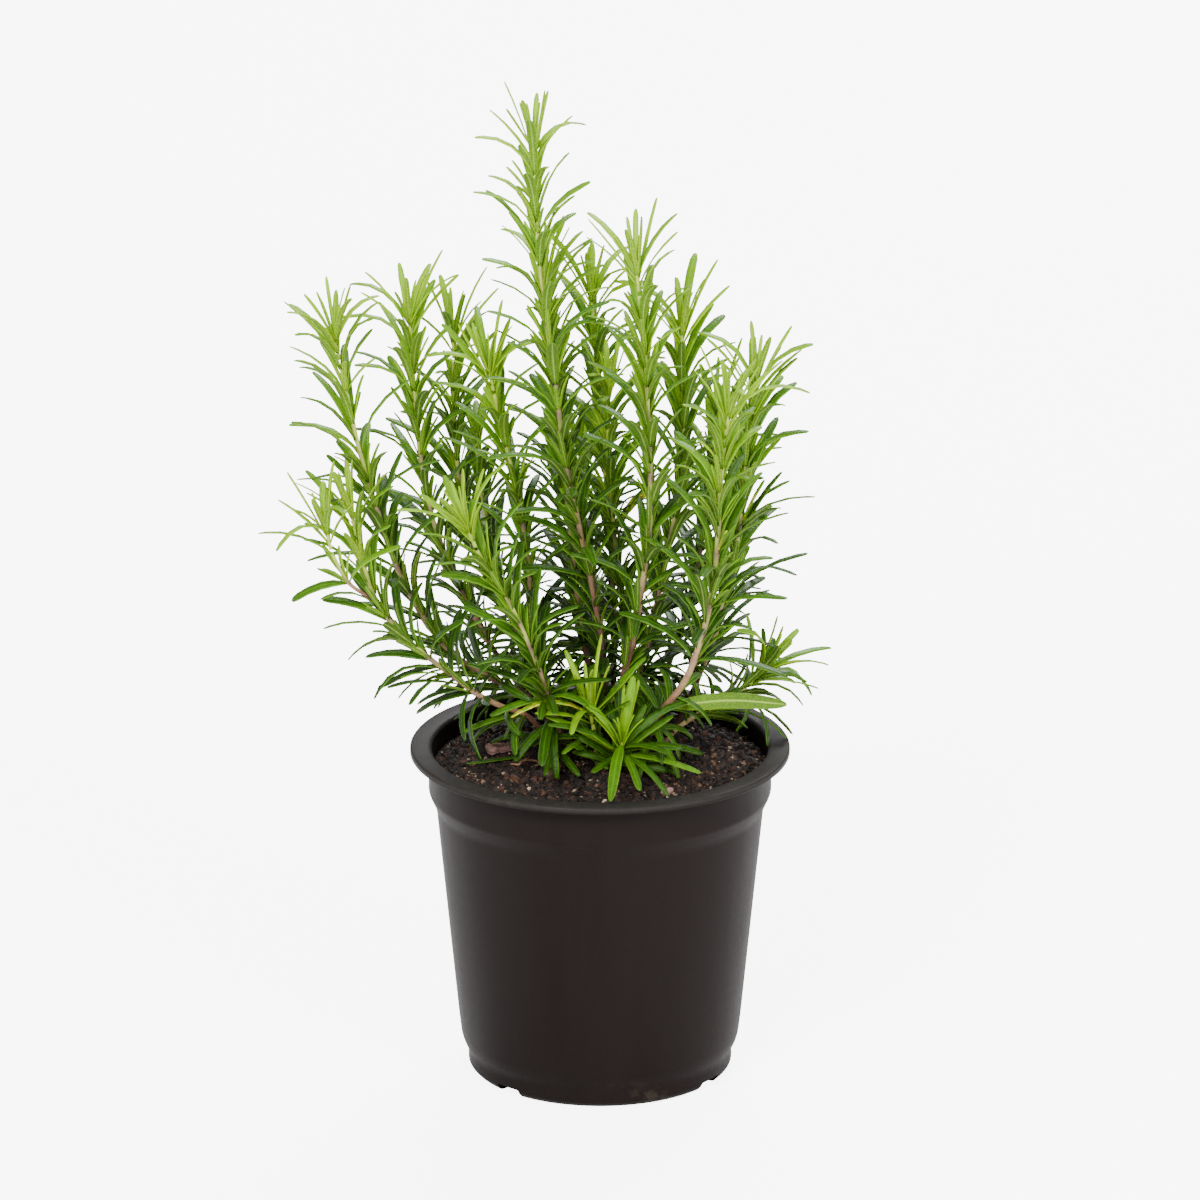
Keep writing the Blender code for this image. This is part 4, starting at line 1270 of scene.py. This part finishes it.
def makeCrumbs(skin, rng):
    crumb = bmesh.new()
    bmesh.ops.create_icosphere(crumb, subdivisions=1, radius=1)
    template = bpy.data.meshes.new("crumbTemplate")
    crumb.to_mesh(template)
    corners = np.array([vert.co for vert in crumb.verts])
    crumb.clear()
    for _ in range(compost["crumbs"]):
        crumb.from_mesh(template)
    pile = toObject("compost_crumbs", crumb)
    places, shades = [], []
    beds = [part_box(name) for name in compost["kept"]]
    (smallest, largest), (bright, shrunk) = compost["crumbSize"], compost["pale"]
    for x, y in scatter(compost["crumbs"], rng, soilBox[1][0] - compost["crumbRoom"]):
        size = smallest + (largest - smallest) * rng.random() ** compost["fewLarge"]
        pale = rng.random()
        if pale > bright:
            size *= shrunk
        turn = Matrix.Rotation(rng.uniform(0, math.tau), 3, [rng.gauss(0, 1) for _ in range(3)])
        stretch = np.array([rng.uniform(*part) for part in compost["stretch"]]) * size
        uneven = np.array([[rng.uniform(*compost["uneven"])] for _ in corners])
        middle = np.array((x, y, soilHeight(x, y) + size * rng.uniform(*compost["raised"])))
        for low, high in beds:
            if low[0] - size < x < high[0] + size and low[1] - size < y < high[1] + size:
                middle[2] = min(middle[2], low[2] - size * 0.9)
        places.append((corners * uneven * stretch) @ np.array(turn).T + middle)
        shades.append(max(0.002, pale))  # never quite nothing, which would mean the plug
    pile.data.vertices.foreach_set("co", np.concatenate(places).astype(np.float32).ravel())
    layer = pile.data.attributes.new("shade", "FLOAT", "POINT")
    layer.data.foreach_set("value", np.repeat(shades, len(corners)).astype(np.float32))
    settle(pile, [skin], "compost")


def makeThreads(skin, rng):
    # thin curled fibres that arch over the crumbs
    threads = bmesh.new()
    shade = threads.verts.layers.float.new("shade")
    reach, rise = soilBox[1][0], compost["threadRise"]
    startRoom, endRoom = compost["threadRoom"]
    steady, loosely = compost["threadBend"]
    radius, change, pitch = compost["threadRadius"]
    for x, y in scatter(compost["threads"], rng, reach - startRoom):
        heading, bend = rng.uniform(0, math.tau), sway(steady, rng)
        step = rng.uniform(*compost["threadStep"]) * mm
        path, tone = [], rng.choice(compost["tones"])
        for place in range(compost["threadSteps"]):
            centre = Vector((x, y, soilHeight(x, y) + rise * (1 + math.sin(place))))
            path.append((centre, (radius + change * math.sin(place * pitch)) * mm))
            heading += bend + sway(loosely, rng)
            x, y = x + step * math.cos(heading), y + step * math.sin(heading)
            if math.hypot(x, y) > reach - endRoom:
                break
        if len(path) > 3:
            drawTube(threads, path, 4, {"shade": shade}, [{"shade": tone}] * len(path))
    bmesh.ops.recalc_face_normals(threads, faces=threads.faces)
    settle(toObject("compost_threads", threads), [skin], "compost")


def makeCompost():
    rng, skin = random.Random(compost["seed"]), makeSoilMaterial()
    makePlug(skin)
    makeCrumbs(skin, rng)
    makeThreads(skin, rng)
    report("compost laid")


# The leaves that stand apart, and the loose things on the compost

loose = {
    "section": [
        (-1.00, -0.30), (-0.90, 0.08), (-0.60, 0.34), (-0.26, 0.30), (0.00, 0.06),  # the top
        (0.26, 0.30), (0.60, 0.34), (0.90, 0.08), (1.00, -0.30),
        (0.84, -0.58), (0.52, -0.44), (0.17, -0.42), (0.00, -0.62),  # the underside with its midrib
        (-0.17, -0.42), (-0.52, -0.44), (-0.84, -0.58),
    ],
    "topCorners": 9,
    "stations": [
        (0.00, 0.36), (0.02, 0.42), (0.05, 0.52), (0.10, 0.68), (0.17, 0.84), (0.26, 0.95), (0.36, 1.00),
        (0.47, 1.00), (0.58, 0.98), (0.68, 0.94), (0.77, 0.87), (0.85, 0.76), (0.91, 0.62), (0.955, 0.45),
        (0.985, 0.26),
    ],
    "leaves": {  # thickness, age, top side up, slot
        "broad_leaf": (1.25 * mm, 0.55, False, "leaf_underside"),
        "hanging_leaf": (1.15 * mm, 0.42, True, "foliage"),
        "fallen_leaf": (0.9 * mm, 0.10, True, "foliage"),
    },
    "chance": 0.3,
    "chips": {"bark_chip": 0.55 * mm, "bark_chip_small": 0.4 * mm},  # how rough each is
    "chipPitch": 420,
    "threadLeast": 0.12 * mm,
    "bark": [(0.0, (0.12, 0.050, 0.040)), (0.5, (0.36, 0.190, 0.160)), (1.0, (0.56, 0.360, 0.310))],
    "barkLayers": (1.0, 1.0, 3.5),
    "barkGrain": (380.0, 2200.0, 0.5),
    "root": [(0.0, (0.10, 0.040, 0.022)), (0.6, (0.26, 0.120, 0.066)), (1.0, (0.42, 0.250, 0.150))],
    "rootGrain": (500.0, 2600.0, 0.5),
}


def makeDryMaterial(name, colours, grains, roughness, relief, layers=(1, 1, 1)):
    # bark or root: one grain for the colour, the roughness and the relief
    material, tree, shader = blank(name)
    mask, height = grain(tree, squeezed(tree, objectPlace(tree), layers), *grains)
    finish(tree, shader, ramp(tree, mask, colours), fit(tree, mask, 0.0, 1.0, *roughness), height, *relief)
    return material


def makeSingleLeaf(name, template, thick, age, topUp):
    spine = readRings(name)
    for place in range(1, len(spine)):
        if spine[place][1].dot(spine[place - 1][1]) < 0:
            spine[place] = (spine[place][0], -spine[place][1], spine[place][2])
    line = np.array([centre for centre, _ in smoothPath([(c, w, False) for c, _, w in spine], 6)])
    walked = np.concatenate([[0], np.cumsum(np.linalg.norm(np.diff(line, axis=0), axis=1))])
    walked /= walked[-1]
    flat = np.array([vert.co for vert in template.vertices])
    x, s, z = flat.T
    centre = np.stack([np.interp(s, walked, line[:, axis]) for axis in range(3)], axis=1)
    ahead = np.stack([np.interp(s, walked, np.gradient(line[:, axis])) for axis in range(3)], axis=1)
    ahead /= np.linalg.norm(ahead, axis=1, keepdims=True)
    own = np.linspace(0, 1, len(spine))
    sides = np.array([across for _, across, _ in spine])
    side = np.stack([np.interp(s, own, sides[:, axis]) for axis in range(3)], axis=1)
    side -= ahead * (side * ahead).sum(1, keepdims=True)
    side /= np.linalg.norm(side, axis=1, keepdims=True)
    up = np.cross(side, ahead)
    if (up[:, 2].mean() > 0) != topUp:
        side, up = -side, -up
    width = max(wide for _, _, wide in spine)
    places = centre + side * (x * width / 2)[:, None] + up * (z * thick)[:, None]
    mesh = bmesh.new()
    mesh.from_mesh(template)
    for face in mesh.faces:
        face.material_index = 0
    piece = toObject(name + "_blade", mesh)
    piece.data.vertices.foreach_set("co", places.astype(np.float32).ravel())
    for key, value in (("age", age), ("chance", loose["chance"])):
        piece.data.attributes[key].data.foreach_set("value", np.full(len(places), value, np.float32))
    return piece


def makeLoose():
    template = makeLeafTemplate("singleLeaf", loose)
    leafSkin = bpy.data.materials["rosemaryLeaf"]
    for name, (thick, age, topUp, slotName) in loose["leaves"].items():
        piece = makeSingleLeaf(name, template, thick, age, topUp)
        settle(piece, [leafSkin], slotName, name)
    bark = makeDryMaterial(
        "barkChip", loose["bark"], loose["barkGrain"], (0.9, 0.7), (0.5 * mm, 0.9), loose["barkLayers"],
    )
    for name, roughness in loose["chips"].items():
        flake = packedMesh(name)
        bmesh.ops.subdivide_edges(flake, edges=flake.edges, cuts=3, smooth=0.4, use_grid_fill=True)
        middle = middleOf(flake.verts)
        for vert in flake.verts:
            out = (vert.co - middle).normalized()
            vert.co += out * noise.fractal(vert.co * loose["chipPitch"], 1.0, 2.0, 4) * roughness
        bmesh.ops.recalc_face_normals(flake, faces=flake.faces)
        settle(toObject(name + "_flake", flake), [bark], "bark", name)
    thread = bmesh.new()
    rings = readRings("root_fibre")
    spine = [(centre, max(width / 2, loose["threadLeast"]), False) for centre, _, width in rings]
    drawTube(thread, smoothPath(spine, 4), 8)
    for face in thread.faces:
        face.smooth = True
    bmesh.ops.recalc_face_normals(thread, faces=thread.faces)
    root = makeDryMaterial("dryRoot", loose["root"], loose["rootGrain"], (0.85, 0.65), (0.3 * mm, 0.8))
    settle(toObject("root_thread", thread), [root], "dry_root", "root_fibre")
    report("loose things placed")


makeGrainGroup()
makeStudio()
makePot()
makeCompost()
makePlant()
makeLoose()
